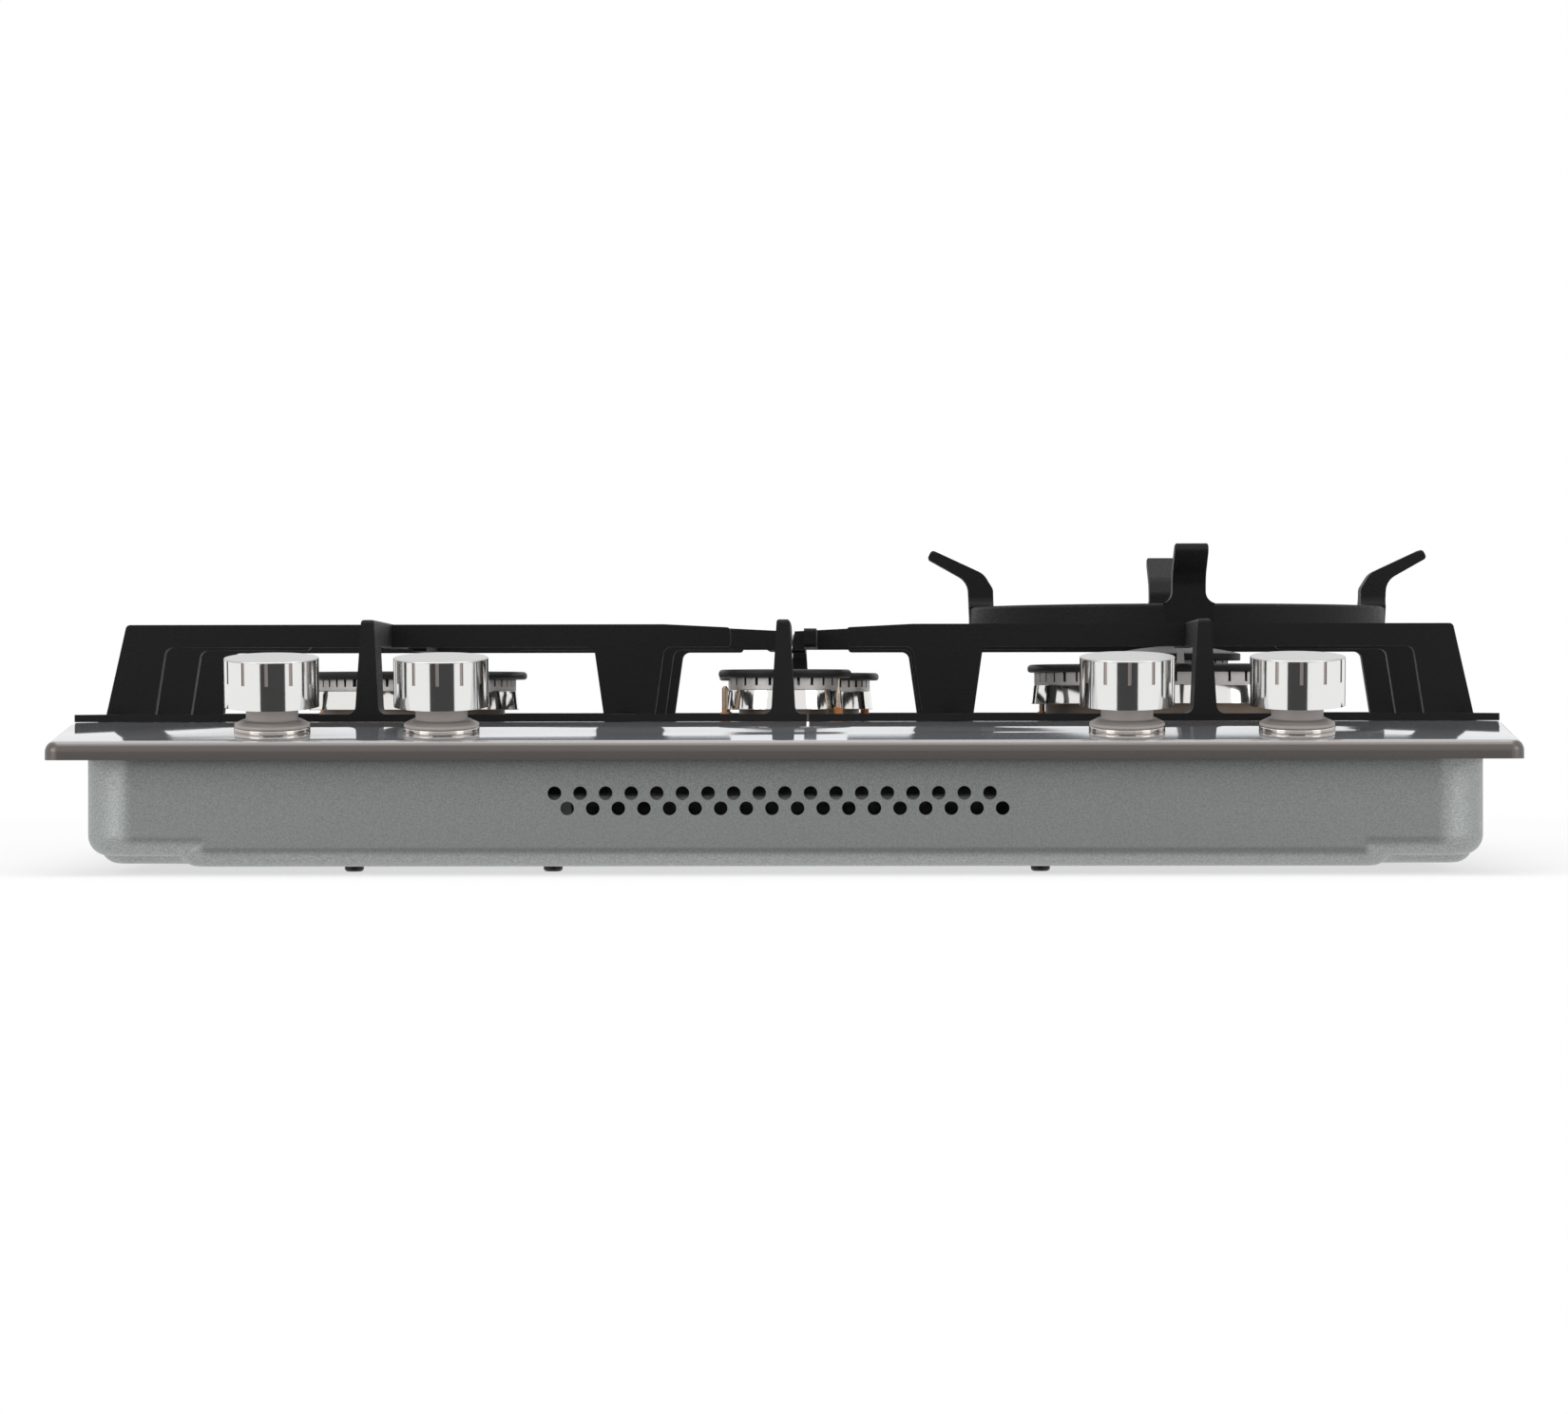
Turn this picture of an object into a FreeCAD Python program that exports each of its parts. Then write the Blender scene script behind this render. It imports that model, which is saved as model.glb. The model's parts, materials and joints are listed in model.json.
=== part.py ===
"""Built-in four-burner gas cooktop, 580 mm wide, with front knobs, two cast pan supports and a wok ring.

Millimetres, +Z up, front towards -Y.  The origin is the middle of the footprint at the height of the
screw heads under the case, so the whole cooktop stands on Z = 0.
"""
import FreeCAD, Part
import Sketcher
import math
import os
from FreeCAD import Placement, Rotation, Vector

doc = FreeCAD.newDocument("GasCooktop")

# ---------------------------------------------------------------------------------------------
# Driving dimensions: every one is a cell of the spreadsheet, under its own alias.
# ---------------------------------------------------------------------------------------------
DIMENSIONS = {
    # pressed stainless top plate
    "plate_width": 580.0,
    "plate_depth": 510.0,
    "plate_sheet": 0.8,
    "plate_corner": 6.0,
    "plate_edge": 4.5,
    "rim_drop": 14.5,          # flat surface above the worktop
    "apron_drop": 7.4,         # how far the front apron falls to the front edge
    "apron_depth": 62.0,
    "hem_width": 11.0,
    "hem_lift": 2.0,           # room under the hem for the foam tape
    "tape_width": 9.0,
    "tape_clearance": 0.4,
    "putty_gap": 0.2,          # sealing putty between plate and case
    # deep-drawn case below the worktop
    "case_side_inset": 12.5,   # case wall inside the plate's edge
    "case_end_inset": 17.0,
    "case_drop": 42.5,         # worktop to case floor
    "case_sheet": 0.7,
    "case_corner": 20.0,
    "case_foot_round": 8.0,
    "relief_rise": 4.2,        # raised corners for the worktop clamps
    "relief_width": 37.0,
    "relief_depth": 40.0,
    "relief_round": 12.0,
    "vent_count": 18.0,
    "vent_bore": 5.4,
    "vent_pitch": 10.1,
    "vent_start": -90.3,
    "vent_stagger": 5.0,
    "vent_drop": 13.4,         # worktop to the upper row
    "vent_row_gap": 6.0,
    "clamp_hole": 4.2,
    "clamp_inset": 17.0,
    "screw_shank": 4.0,
    "screw_hole": 4.4,
    "screw_head": 7.8,
    "screw_head_height": 3.0,
    "screw_length": 7.0,
    "screw_dome": 1.4,
    # gas rail, inlet and taps
    "rail_outside": 16.0,
    "rail_bore": 13.0,
    "rail_overrun": 21.2,      # past the outer tap on the left
    "rail_bend": 26.0,
    "rail_drop": 30.0,         # below the plate, along the tap's axis
    "rail_setback": 19.0,      # behind the tap's axis
    "saddle_width": 16.0,
    "saddle_length": 22.0,
    "saddle_left_step": 30.4,  # inwards of the outer left tap
    "saddle_middle_step": 43.0, # inwards of the inner left tap
    "saddle_right_step": 33.7, # inwards of the inner right tap
    "inlet_thread": 20.8,
    "inlet_bore": 14.0,
    "inlet_reach": 14.5,       # stub standing out of the rear wall
    "inlet_collar": 21.6,
    "inlet_collar_reach": 2.0,
    "inlet_hex": 27.0,
    "inlet_hex_length": 12.0,
    "inlet_wall_gap": 1.0,     # nut to the rear wall, and to where the wall's corner begins
    "inlet_hole": 22.0,
    "tap_side": 86.2,          # outer taps inside the plate's edge
    "tap_pitch": 67.5,
    "tap_setback": 35.0,       # knob axis behind the front edge
    "tap_diameter": 18.0,
    "tap_top": 1.2,
    "tap_length": 46.0,
    "tap_bore": 8.1,
    "tap_chamber_top": 5.0,
    "tap_chamber_length": 29.0,
    "rod_bore": 3.1,
    "outlet_drop": 14.0,
    "outlet_diameter": 10.0,
    "outlet_reach": 14.0,
    "switch_width": 9.0,
    "switch_length": 14.0,
    "switch_height": 12.0,
    # spindle, valve rod and spring below each knob
    "spindle_diameter": 6.0,
    "spindle_flat": 4.5,
    "spindle_top": 24.4,
    "spindle_collar": 8.0,
    "spindle_collar_top": 8.0,
    "spindle_collar_length": 12.0,
    "rod_diameter": 3.0,
    "rod_length": 18.0,
    "rod_flange": 7.6,
    "rod_flange_height": 2.0,
    "spring_wire": 0.8,
    "spring_diameter": 5.6,
    "spring_turns": 4.0,
    # knob and what shows below it
    "knob_diameter": 37.8,
    "knob_height": 19.5,
    "knob_gap": 9.9,
    "knob_chamfer": 0.6,
    "knob_wall": 2.0,
    "knob_top": 2.5,
    "knob_boss": 11.0,
    "knob_boss_start": 13.4,
    "knob_bore_clearance": 0.05,
    "knob_bore_depth": 12.0,
    "mark_count": 12.0,
    "mark_width": 1.5,
    "mark_length": 8.3,
    "mark_depth": 0.4,
    "spindle_hole": 12.0,
    "bezel_diameter": 30.4,
    "bezel_inside": 24.0,
    "bezel_height": 1.8,
    "bezel_round": 0.8,
    "seal_flange": 30.0,
    "seal_collar": 20.8,
    "seal_wall": 1.4,
    "seal_bore": 6.6,
    "seal_flange_edge": 1.2,
    "seal_flange_rise": 2.8,
    "seal_height": 11.0,
    # burners
    "rapid_side": 121.5,       # rapid and wok burner centres inside the plate's edge
    "wok_side": 119.5,
    "large_burner_offset": 1.0,
    "small_x": 1.5,
    "auxiliary_cap": 56.0,
    "auxiliary_overhang": 4.8, # cap beyond its burner ring, all round
    "auxiliary_slots": 24.0,
    "semi_cap": 74.4,
    "semi_overhang": 4.2,
    "semi_slots": 40.0,
    "rapid_cap": 100.6,
    "rapid_overhang": 4.9,
    "rapid_slots": 54.0,
    "wok_cap": 132.0,
    "wok_overhang": 3.0,
    "wok_slots": 50.0,
    "cup_rim": 0.5,            # cup outside the burner ring, in radius
    "cup_wall": 1.8,
    "cup_flare": 0.9,
    "cup_foot_inset": 5.5,
    "cup_neck_inset": 3.0,
    "cup_underside": 4.9,
    "cup_rim_height": 13.2,
    "ring_height": 4.9,
    "cap_thickness": 3.5,
    "cap_round": 1.7,
    "cap_lip": 1.2,
    "ring_wall": 2.2,
    "ring_floor": 1.5,
    "ring_skirt": 4.0,
    "riser_bore": 16.0,
    "cup_bore": 18.0,
    "cup_depth": 18.0,
    "slot_width": 1.2,
    "slot_height": 3.1,
    "wide_slot_width": 1.9,
    "wide_slot_every": 6.0,
    "ring_clearance": 0.3,     # ring skirt in its cup, cap lip in its ring
    "seat_gap": 0.1,
    "wok_lift": 2.3,           # the wok burner's cup stands this much higher
    "wok_ring_height": 5.4,
    "wok_slot_height": 4.2,
    "wok_annulus_inside": 72.0,
    "wok_crown": 46.0,
    "wok_crown_top": 26.3,
    "wok_inner_slots": 30.0,
    "wok_crown_slots": 24.0,
    "wok_lug_distance": 31.5,  # upright lug between the two wok caps
    "wok_lug_foot": 4.6,
    "wok_lug_head": 2.6,
    "wok_lug_thickness": 2.0,
    "wok_lug_top": 31.2,
    "wok_centre_cap": 57.0,
    "wok_centre_edge": 3.0,
    "wok_centre_dome": 3.4,
    "hole_clearance": 0.4,
    "bracket_span": 56.0,
    "bracket_width": 20.0,
    "bracket_sheet": 1.2,
    "bracket_foot": 12.0,
    "jet_diameter": 12.0,
    "jet_neck": 8.0,
    "jet_neck_rise": 4.0,
    "jet_length": 13.0,
    "pipe_diameter": 5.0,
    "pipe_bend": 14.0,
    "pipe_over_rail": 22.0,    # level run over the rail, then the fall behind it
    "pipe_fall_run": 26.0,
    "pipe_slant": 45.0,
    "pipe_last_run": 61.0,
    "pipe_crossing": 14.0,     # from the fall to the auxiliary burner's cross run
    "pipe_crossing_rise": 2.0,
    "pipe_lane_inset": 98.5,   # wok burner to the lane of the semi-rapid burner's pipe
    "pipe_lane_start": 76.0,
    "pipe_lane_end": 44.0,
    "pipe_semi_slant": 30.0,
    "pipe_semi_last": 32.0,
    # ignition
    "electrode_base": 4.0,
    "electrode_base_top": 5.8,
    "electrode_pin": 1.9,
    "electrode_top": 17.6,
    "electrode_depth": 14.0,
    "thermocouple_pin": 2.6,
    "thermocouple_top": 14.8,
    "flame_side_gap": 4.0,
    "module_width": 62.0,
    "module_depth": 44.0,
    "module_height": 26.0,
    "module_side_gap": 41.5,
    "module_back_gap": 38.0,
    "grommet_diameter": 16.0,
    "grommet_bore": 7.5,
    "grommet_length": 10.0,
    # cast-iron pan supports
    "support_side": 1.2,       # support inside the plate's edge
    "support_front_gap": 12.0,  # behind the apron's slope
    "support_back_gap": 33.0,
    "support_split": 8.5,
    "middle_offset": 1.0,      # middle fingers beside the centre line
    "row_pitch": 115.0,
    "bar_width": 7.0,
    "base_gap": 0.2,
    "base_height": 3.0,
    "base_width": 8.0,
    "bar_top": 41.0,
    "bar_height": 9.6,
    "tip_fall": 1.4,
    "tip_fall_length": 28.0,
    "outer_leg_lean": 9.2,
    "outer_leg_width": 16.5,
    "outer_leg_taper": 4.9,
    "inner_leg_outside": 82.0,
    "inner_leg_inside": 52.4,
    "inner_leg_taper": 4.4,
    "inner_bar_x": 68.5,
    "small_burner_tip": 24.5,
    "large_burner_tip": 46.0,
    "leg_round": 3.4,
    "tip_round": 1.6,
    "finger_side": 118.8,      # fore-and-aft finger inside the support's outer edge
    "finger_top_width": 5.2,
    "finger_foot_width": 9.6,
    "finger_leg_lean": 4.0,
    "finger_leg_depth": 25.0,
    "finger_rise": 0.7,
    "stub_x": 8.8,
    "foot_diameter": 6.0,
    "foot_socket": 1.6,
    # wok ring
    "wok_band_outside": 184.0,
    "wok_band_width": 8.0,
    "wok_band_height": 8.8,
    "wok_ring_gap": 0.2,
    "wok_arm_width": 14.2,
    "wok_arm_flare": 20.0,
    "wok_arm_reach": 111.2,
    "wok_arm_top": 75.6,
    "wok_arm_bend": 61.5,
    "wok_arm_wall": 11.0,
    "wok_arm_tip": 5.0,
}

sheet = doc.addObject("Spreadsheet::Sheet", "Sizes")
for row, (alias, number) in enumerate(DIMENSIONS.items(), 1):
    sheet.set("A%d" % row, alias)
    sheet.set("B%d" % row, str(number))
    sheet.setAlias("B%d" % row, alias)
doc.recompute()


class Size:
    """A length with the spreadsheet expression that gives it, so that both grow together."""

    def __init__(self, number, text):
        self.number = number
        self.text = text

    def __add__(self, other):
        other = as_size(other)
        return Size(self.number + other.number, "(%s + %s)" % (self.text, other.text))

    def __sub__(self, other):
        other = as_size(other)
        return Size(self.number - other.number, "(%s - %s)" % (self.text, other.text))

    def __mul__(self, factor):
        factor = as_size(factor)
        return Size(self.number * factor.number, "(%s * %s)" % (self.text, factor.text))

    def __truediv__(self, factor):
        factor = as_size(factor)
        return Size(self.number / factor.number, "(%s / %s)" % (self.text, factor.text))

    def __neg__(self):
        return Size(-self.number, "(-1 * %s)" % self.text)


def as_size(value):
    """Take a plain number as a size of its own."""
    return value if isinstance(value, Size) else Size(float(value), "%.6g" % value)


class Sheet:
    """The spreadsheet's cells by name: s.plate_width is that cell as a Size."""

    def __getattr__(self, alias):
        return Size(float(getattr(sheet, alias)), "Sizes." + alias)


s = Sheet()
ZERO = as_size(0)

# Heights above the floor that the case's screw heads stand on.
floor_under = s.screw_head_height
floor_top = floor_under + s.case_sheet
worktop = floor_under + s.case_drop
surface = worktop + s.rim_drop
front = -(s.plate_depth / 2)
underside = surface - s.plate_sheet

# Plan of the case, the supports and the burners, all from the plate's outline.
case_width = s.plate_width - s.case_side_inset * 2
case_depth = s.plate_depth - s.case_end_inset * 2
support_half_width = s.plate_width / 2 - s.support_side
support_front = front + s.apron_depth + s.support_front_gap
support_back = s.plate_depth / 2 - s.support_back_gap
support_y = (support_front + support_back) / 2
support_depth = support_back - support_front
finger_x = support_half_width - s.finger_side
rapid_x = -(s.plate_width / 2 - s.rapid_side)
wok_x = s.plate_width / 2 - s.wok_side
large_burner_y = support_y + s.large_burner_offset
inlet_x = case_width / 2 - s.case_corner - s.inlet_hex / math.sqrt(3) - s.inlet_wall_gap
module_x = -(case_width / 2 - s.module_side_gap - s.module_width / 2)
module_y = case_depth / 2 - s.module_back_gap - s.module_depth / 2
tap_x_outer = s.plate_width / 2 - s.tap_side
tap_x_inner = tap_x_outer - s.tap_pitch
APRON_ANGLE = math.atan2(s.apron_drop.number, s.apron_depth.number)


# ---------------------------------------------------------------------------------------------
# Ways of making a piece
# ---------------------------------------------------------------------------------------------
def place(thing, x=ZERO, y=ZERO, z=ZERO):
    """Tie a piece's position to the spreadsheet."""
    for axis, size in (("x", x), ("y", y), ("z", z)):
        thing.setExpression("Placement.Base." + axis, as_size(size).text)
    return thing


def box(name, length, width, height, x, y, z):
    """A block by its low corner."""
    block = doc.addObject("Part::Box", name)
    for side, size in (("Length", length), ("Width", width), ("Height", height)):
        block.setExpression(side, as_size(size).text)
    return place(block, x, y, z)


def rod(name, diameter, height, x, y, z):
    """An upright cylinder by the centre of its foot."""
    round_bar = doc.addObject("Part::Cylinder", name)
    round_bar.setExpression("Radius", (as_size(diameter) / 2).text)
    round_bar.setExpression("Height", as_size(height).text)
    return place(round_bar, x, y, z)


def rod_along_y(name, diameter, length, x, y, z):
    """A cylinder that runs towards the back, by the centre of its front end."""
    bar = rod(name, diameter, length, x, y, z)
    bar.Placement = Placement(bar.Placement.Base, Rotation(Vector(1, 0, 0), -90))
    return bar


def cut(name, base, *tools):
    """One piece less others."""
    if len(tools) > 1:
        tool = fuse(name + "_cutters", *tools)
    else:
        tool = tools[0]
    result = doc.addObject("Part::Cut", name)
    result.Base = base
    result.Tool = tool
    return result


def fuse(name, *pieces):
    """Several forms made one."""
    result = doc.addObject("Part::MultiFuse", name)
    result.Shapes = list(pieces)
    return result


def group(name, *pieces):
    """Like pieces that share a node, each a solid of its own."""
    result = doc.addObject("Part::Compound", name)
    result.Links = list(pieces)
    return result


def solid(name, shape):
    """A form set straight from its shape."""
    feature = doc.addObject("Part::Feature", name)
    feature.Shape = shape
    return feature


def hold(sketch, line, direction, size):
    """Fix one coordinate of a profile corner; a corner on an axis is tied to that axis."""
    if abs(size.number) < 1e-9:
        axis = -2 if direction == "DistanceX" else -1
        sketch.addConstraint(Sketcher.Constraint("PointOnObject", line, 1, axis))
        return
    index = sketch.addConstraint(Sketcher.Constraint(direction, -1, 1, line, 1, size.number))
    sketch.setExpression("Constraints[%d]" % index, size.text)


def profile(body, name, corners, plane_role):
    """A closed outline of straight lines in a body, each corner held by the spreadsheet."""
    sketch = body.newObject("Sketcher::SketchObject", name)
    plane = next(item for item in body.Origin.OriginFeatures if item.Role == plane_role)
    sketch.AttachmentSupport = [(plane, "")]
    sketch.MapMode = "FlatFace"
    corners = [(as_size(across), as_size(up)) for across, up in corners]
    points = [Vector(across.number, up.number, 0) for across, up in corners]
    count = len(points)
    for line in range(count):
        sketch.addGeometry(Part.LineSegment(points[line], points[(line + 1) % count]), False)
    for line in range(count):
        sketch.addConstraint(Sketcher.Constraint("Coincident", line, 2, (line + 1) % count, 1))
    for line, (across, up) in enumerate(corners):
        hold(sketch, line, "DistanceX", across)
        hold(sketch, line, "DistanceY", up)
    return sketch


def turned(name, corners):
    """A piece turned about its own Z axis from half its section."""
    body = doc.addObject("PartDesign::Body", name)
    sketch = profile(body, name + "_section", corners, "XZ_Plane")
    turn = body.newObject("PartDesign::Revolution", name + "_turn")
    turn.Profile = sketch
    turn.ReferenceAxis = (sketch, ["V_Axis"])
    turn.Angle = 360
    doc.recompute()
    return body


def pressed(name, corners, width):
    """A piece with one side section from left to right."""
    body = doc.addObject("PartDesign::Body", name)
    sketch = profile(body, name + "_section", corners, "YZ_Plane")
    pad = body.newObject("PartDesign::Pad", name + "_pad")
    pad.Profile = sketch
    pad.SideType = "Symmetric"
    pad.setExpression("Length", as_size(width).text)
    doc.recompute()
    return body


def rounded(body, name, radius, chosen):
    """Round the edges of a body that a test picks out."""
    tip = body.Tip
    edges = ["Edge%d" % (index + 1) for index, edge in enumerate(tip.Shape.Edges) if chosen(edge)]
    fillet = body.newObject("PartDesign::Fillet", name)
    fillet.Base = (tip, edges)
    fillet.setExpression("Radius", as_size(radius).text)
    doc.recompute()
    return body


def circle_at(radius, height):
    """A test for the round edge of one radius at one height."""
    def chosen(edge):
        box_of = edge.BoundBox
        flat = box_of.ZLength < 0.001
        return flat and abs(box_of.ZMax - height) < 0.001 and abs(box_of.XMax - radius) < 0.001
    return chosen


def rounded_wire(corners, plane="XZ"):
    """A closed wire through corners, each (across, up, radius), with an arc of that radius at each."""
    def point(across, up):
        return Vector(across, 0, up) if plane == "XZ" else Vector(0, across, up)

    count = len(corners)
    bends = []
    for index, (across, up, radius) in enumerate(corners):
        here = point(across, up)
        before = point(*corners[index - 1][:2])
        after = point(*corners[(index + 1) % count][:2])
        back = (before - here).normalize()
        ahead = (after - here).normalize()
        if radius <= 0:
            bends.append((here, None, here))
            continue
        half_turn = back.getAngle(ahead) / 2
        reach = radius / math.tan(half_turn)
        middle_line = (back + ahead).normalize()
        middle = here + middle_line * (radius / math.sin(half_turn) - radius)
        bends.append((here + back * reach, middle, here + ahead * reach))
    edges = []
    for index, (start, middle, end) in enumerate(bends):
        if middle is not None:
            edges.append(Part.Arc(start, middle, end).toShape())
        next_start = bends[(index + 1) % count][0]
        if (next_start - end).Length > 1e-6:
            edges.append(Part.LineSegment(end, next_start).toShape())
    return Part.Wire(edges)


def plate_of(corners, thickness, offset, plane="XZ"):
    """A flat piece of one outline, centred at an offset across its plane."""
    face = Part.Face(rounded_wire(corners, plane))
    across = Vector(0, 1, 0) if plane == "XZ" else Vector(1, 0, 0)
    face.translate(across * (offset - thickness / 2))
    return face.extrude(across * thickness)


def tube_path(points, bend):
    """Straight runs joined by tangent arcs of one radius."""
    edges = []
    start = points[0]
    for index in range(1, len(points) - 1):
        corner = points[index]
        back = (points[index - 1] - corner).normalize()
        ahead = (points[index + 1] - corner).normalize()
        half_turn = back.getAngle(ahead) / 2
        reach = bend / math.tan(half_turn)
        middle = corner + (back + ahead).normalize() * (bend / math.sin(half_turn) - bend)
        arc_start = corner + back * reach
        arc_end = corner + ahead * reach
        edges.append(Part.LineSegment(start, arc_start).toShape())
        edges.append(Part.Arc(arc_start, middle, arc_end).toShape())
        start = arc_end
    edges.append(Part.LineSegment(start, points[-1]).toShape())
    return Part.Wire(edges)


def tube(points, diameter, bend):
    """A round bar along such a path."""
    path = tube_path(points, bend)
    direction = points[1] - points[0]
    section = Part.Wire(Part.Circle(points[0], direction, diameter / 2).toShape())
    return path.makePipeShell([section], True, False)


# ---------------------------------------------------------------------------------------------
# Burners: where each stands and what makes one differ from the next
# ---------------------------------------------------------------------------------------------
class Burner:
    """The sizes of one burner; heights are above the plate's flat surface."""

    def __init__(self, name, x, y, cap, overhang, slots, lift, ring_height, slot_height):
        self.name = name
        self.x = x
        self.y = y
        self.cap = cap / 2
        self.ring = self.cap - overhang
        self.slots = slots
        self.cup = self.ring + s.cup_rim
        self.foot = self.cup - s.cup_foot_inset
        self.neck = self.foot - s.cup_neck_inset
        self.underside = s.cup_underside + lift
        self.rim = s.cup_rim_height + lift
        self.seat = self.rim + s.seat_gap
        self.top = self.seat + ring_height
        self.slot_height = slot_height


small_left = -s.small_x
BURNERS = [
    Burner("rapid", rapid_x, large_burner_y, s.rapid_cap, s.rapid_overhang, s.rapid_slots,
           ZERO, s.ring_height, s.slot_height),
    Burner("auxiliary", small_left, support_y - s.row_pitch, s.auxiliary_cap, s.auxiliary_overhang,
           s.auxiliary_slots, ZERO, s.ring_height, s.slot_height),
    Burner("semi_rapid", s.small_x, support_y + s.row_pitch, s.semi_cap, s.semi_overhang,
           s.semi_slots, ZERO, s.ring_height, s.slot_height),
    Burner("wok", wok_x, large_burner_y, s.wok_cap, s.wok_overhang, s.wok_slots,
           s.wok_lift, s.wok_ring_height, s.wok_slot_height),
]
TAP_X = [-tap_x_outer, -tap_x_inner, tap_x_inner, tap_x_outer]
NODES = []


def node(thing):
    """Name a finished piece as a node."""
    thing.Label = thing.Name
    NODES.append(thing)
    return thing


# ---------------------------------------------------------------------------------------------
# Knob stack: one shared axis per tap, square to the sloping apron
# ---------------------------------------------------------------------------------------------
tap_y = front + s.tap_setback
tap_z = surface - s.apron_drop * (as_size(1) - s.tap_setback / s.apron_depth)


def on_tap(thing, tap):
    """Stand a piece, made about its own Z axis, on the axis of one tap."""
    thing.Placement = Placement(Vector(TAP_X[tap].number, tap_y.number, tap_z.number),
                                Rotation(Vector(1, 0, 0), math.degrees(APRON_ANGLE)))
    place(thing, TAP_X[tap], tap_y, tap_z)
    thing.setExpression("Placement.Rotation.Angle", "atan(Sizes.apron_drop / Sizes.apron_depth)")
    return thing


def tap_point(tap, back, up):
    """A point in a tap's own upright plane, in the cooktop's frame."""
    local = Vector(0, back, up)
    turned_local = Rotation(Vector(1, 0, 0), math.degrees(APRON_ANGLE)).multVec(local)
    return Vector(TAP_X[tap].number, tap_y.number, tap_z.number) + turned_local


chamber_floor = -(s.tap_chamber_top + s.tap_chamber_length)
collar_foot = -(s.spindle_collar_top + s.spindle_collar_length)
rod_top = collar_foot - s.seat_gap
spring_top = rod_top - s.rod_flange_height

# ---------------------------------------------------------------------------------------------
# Top plate: a pressed stainless tray with a falling front apron and a hem for the foam tape
# ---------------------------------------------------------------------------------------------


def tray(name, inset, floor_z):
    """The plate's outer form, or its inside at an inset of one sheet."""
    slope_shift = s.plate_sheet * (1 / math.cos(APRON_ANGLE)) if inset is not ZERO else ZERO
    front_face = front + inset
    front_top = surface - s.apron_drop - slope_shift + inset * math.tan(APRON_ANGLE)
    flat_top = surface - inset
    slope_end = front + s.apron_depth - (slope_shift - inset) / math.tan(APRON_ANGLE)
    body = pressed(name, [(front_face, floor_z), (front_face, front_top), (slope_end, flat_top),
                          (s.plate_depth / 2 - inset, flat_top), (s.plate_depth / 2 - inset, floor_z)],
                   s.plate_width - inset * 2)
    half_width = (s.plate_width / 2 - inset).number
    half_depth = (s.plate_depth / 2 - inset).number

    def upright(edge):
        return edge.BoundBox.XLength < 0.001 and edge.BoundBox.YLength < 0.001

    def top_rim(edge):
        centre = edge.CenterOfMass
        outside = half_width - abs(centre.x) < 3.0 or half_depth - abs(centre.y) < 3.0
        return outside and centre.z > floor_z.number + 1.0 and not upright(edge)

    rounded(body, name + "_corners", s.plate_corner - inset, upright)
    rounded(body, name + "_edges", s.plate_edge - inset, top_rim)
    return body


plate_blank = tray("plate_blank", ZERO, worktop)
plate_hollow = tray("plate_hollow", s.plate_sheet, worktop - 1)
tray_shell = cut("tray_shell", plate_blank, plate_hollow)


def hem_ring():
    """The sheet folded in round the foot of the rim, with mitred corners, above the foam tape."""
    def octagon(half_x, half_y, corner, z):
        pairs = [(half_x, half_y - corner), (half_x - corner, half_y), (corner - half_x, half_y),
                 (-half_x, half_y - corner), (-half_x, corner - half_y), (corner - half_x, -half_y),
                 (half_x - corner, -half_y), (half_x, corner - half_y)]
        points = [Vector(x, y, z) for x, y in pairs]
        return Part.Face(Part.makePolygon(points + points[:1]))

    lap = s.plate_sheet.number / 2
    half_x = s.plate_width.number / 2 - lap
    half_y = s.plate_depth.number / 2 - lap
    low = worktop.number + s.hem_lift.number
    corner = s.plate_corner.number
    outside = octagon(half_x, half_y, corner, low)
    inside = octagon(half_x - s.hem_width.number, half_y - s.hem_width.number, corner, low)
    return outside.cut(inside).extrude(Vector(0, 0, s.plate_sheet.number))


plate_form = fuse("plate_form", tray_shell, solid("hem", hem_ring()))
plate_cutters = []
for burner in BURNERS:
    plate_cutters.append(rod(burner.name + "_hole", (burner.neck + s.hole_clearance) * 2,
                             s.plate_sheet * 4, burner.x, burner.y, surface - s.plate_sheet * 2))
for tap in range(len(TAP_X)):
    opening = doc.addObject("Part::Cylinder", "spindle_opening_%d" % (tap + 1))
    opening.setExpression("Radius", (s.spindle_hole / 2).text)
    opening.setExpression("Height", (s.plate_sheet * 4).text)
    on_tap(opening, tap)
    drop = Rotation(Vector(1, 0, 0), math.degrees(APRON_ANGLE)).multVec(Vector(0, 0, -1))
    place(opening, TAP_X[tap], tap_y + s.plate_sheet * 2 * drop.y, tap_z + s.plate_sheet * 2 * drop.z)
    plate_cutters.append(opening)

# Spark electrode and flame-sensing thermocouple stand beside each burner, at these angles.
PIN_ANGLES = {"rapid": (60.0, 150.0), "auxiliary": (-35.0, 205.0), "semi_rapid": (35.0, 155.0),
              "wok": (60.0, 150.0)}
ELECTRODE = 0
THERMOCOUPLE = 1


def beside(burner, pin):
    """Where a pin stands beside a burner's cup."""
    angle = PIN_ANGLES[burner.name][pin]
    away = burner.cup + s.cup_flare + s.flame_side_gap / 2 + s.electrode_base / 4
    return (burner.x + away * math.cos(math.radians(angle)),
            burner.y + away * math.sin(math.radians(angle)))


for burner in BURNERS:
    for label, pin in (("electrode", ELECTRODE), ("thermocouple", THERMOCOUPLE)):
        pin_x, pin_y = beside(burner, pin)
        plate_cutters.append(rod("%s_%s_hole" % (burner.name, label), s.electrode_base + s.hole_clearance,
                                 s.plate_sheet * 4, pin_x, pin_y, surface - s.plate_sheet * 2))
top_plate = node(cut("top_plate", plate_form, *plate_cutters))

# Foam tape between the hem and the worktop.
tape_outside_x = s.plate_width - s.plate_sheet * 2 - s.tape_clearance
tape_outside_y = s.plate_depth - s.plate_sheet * 2 - s.tape_clearance
tape_mitre = s.plate_corner


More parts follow.
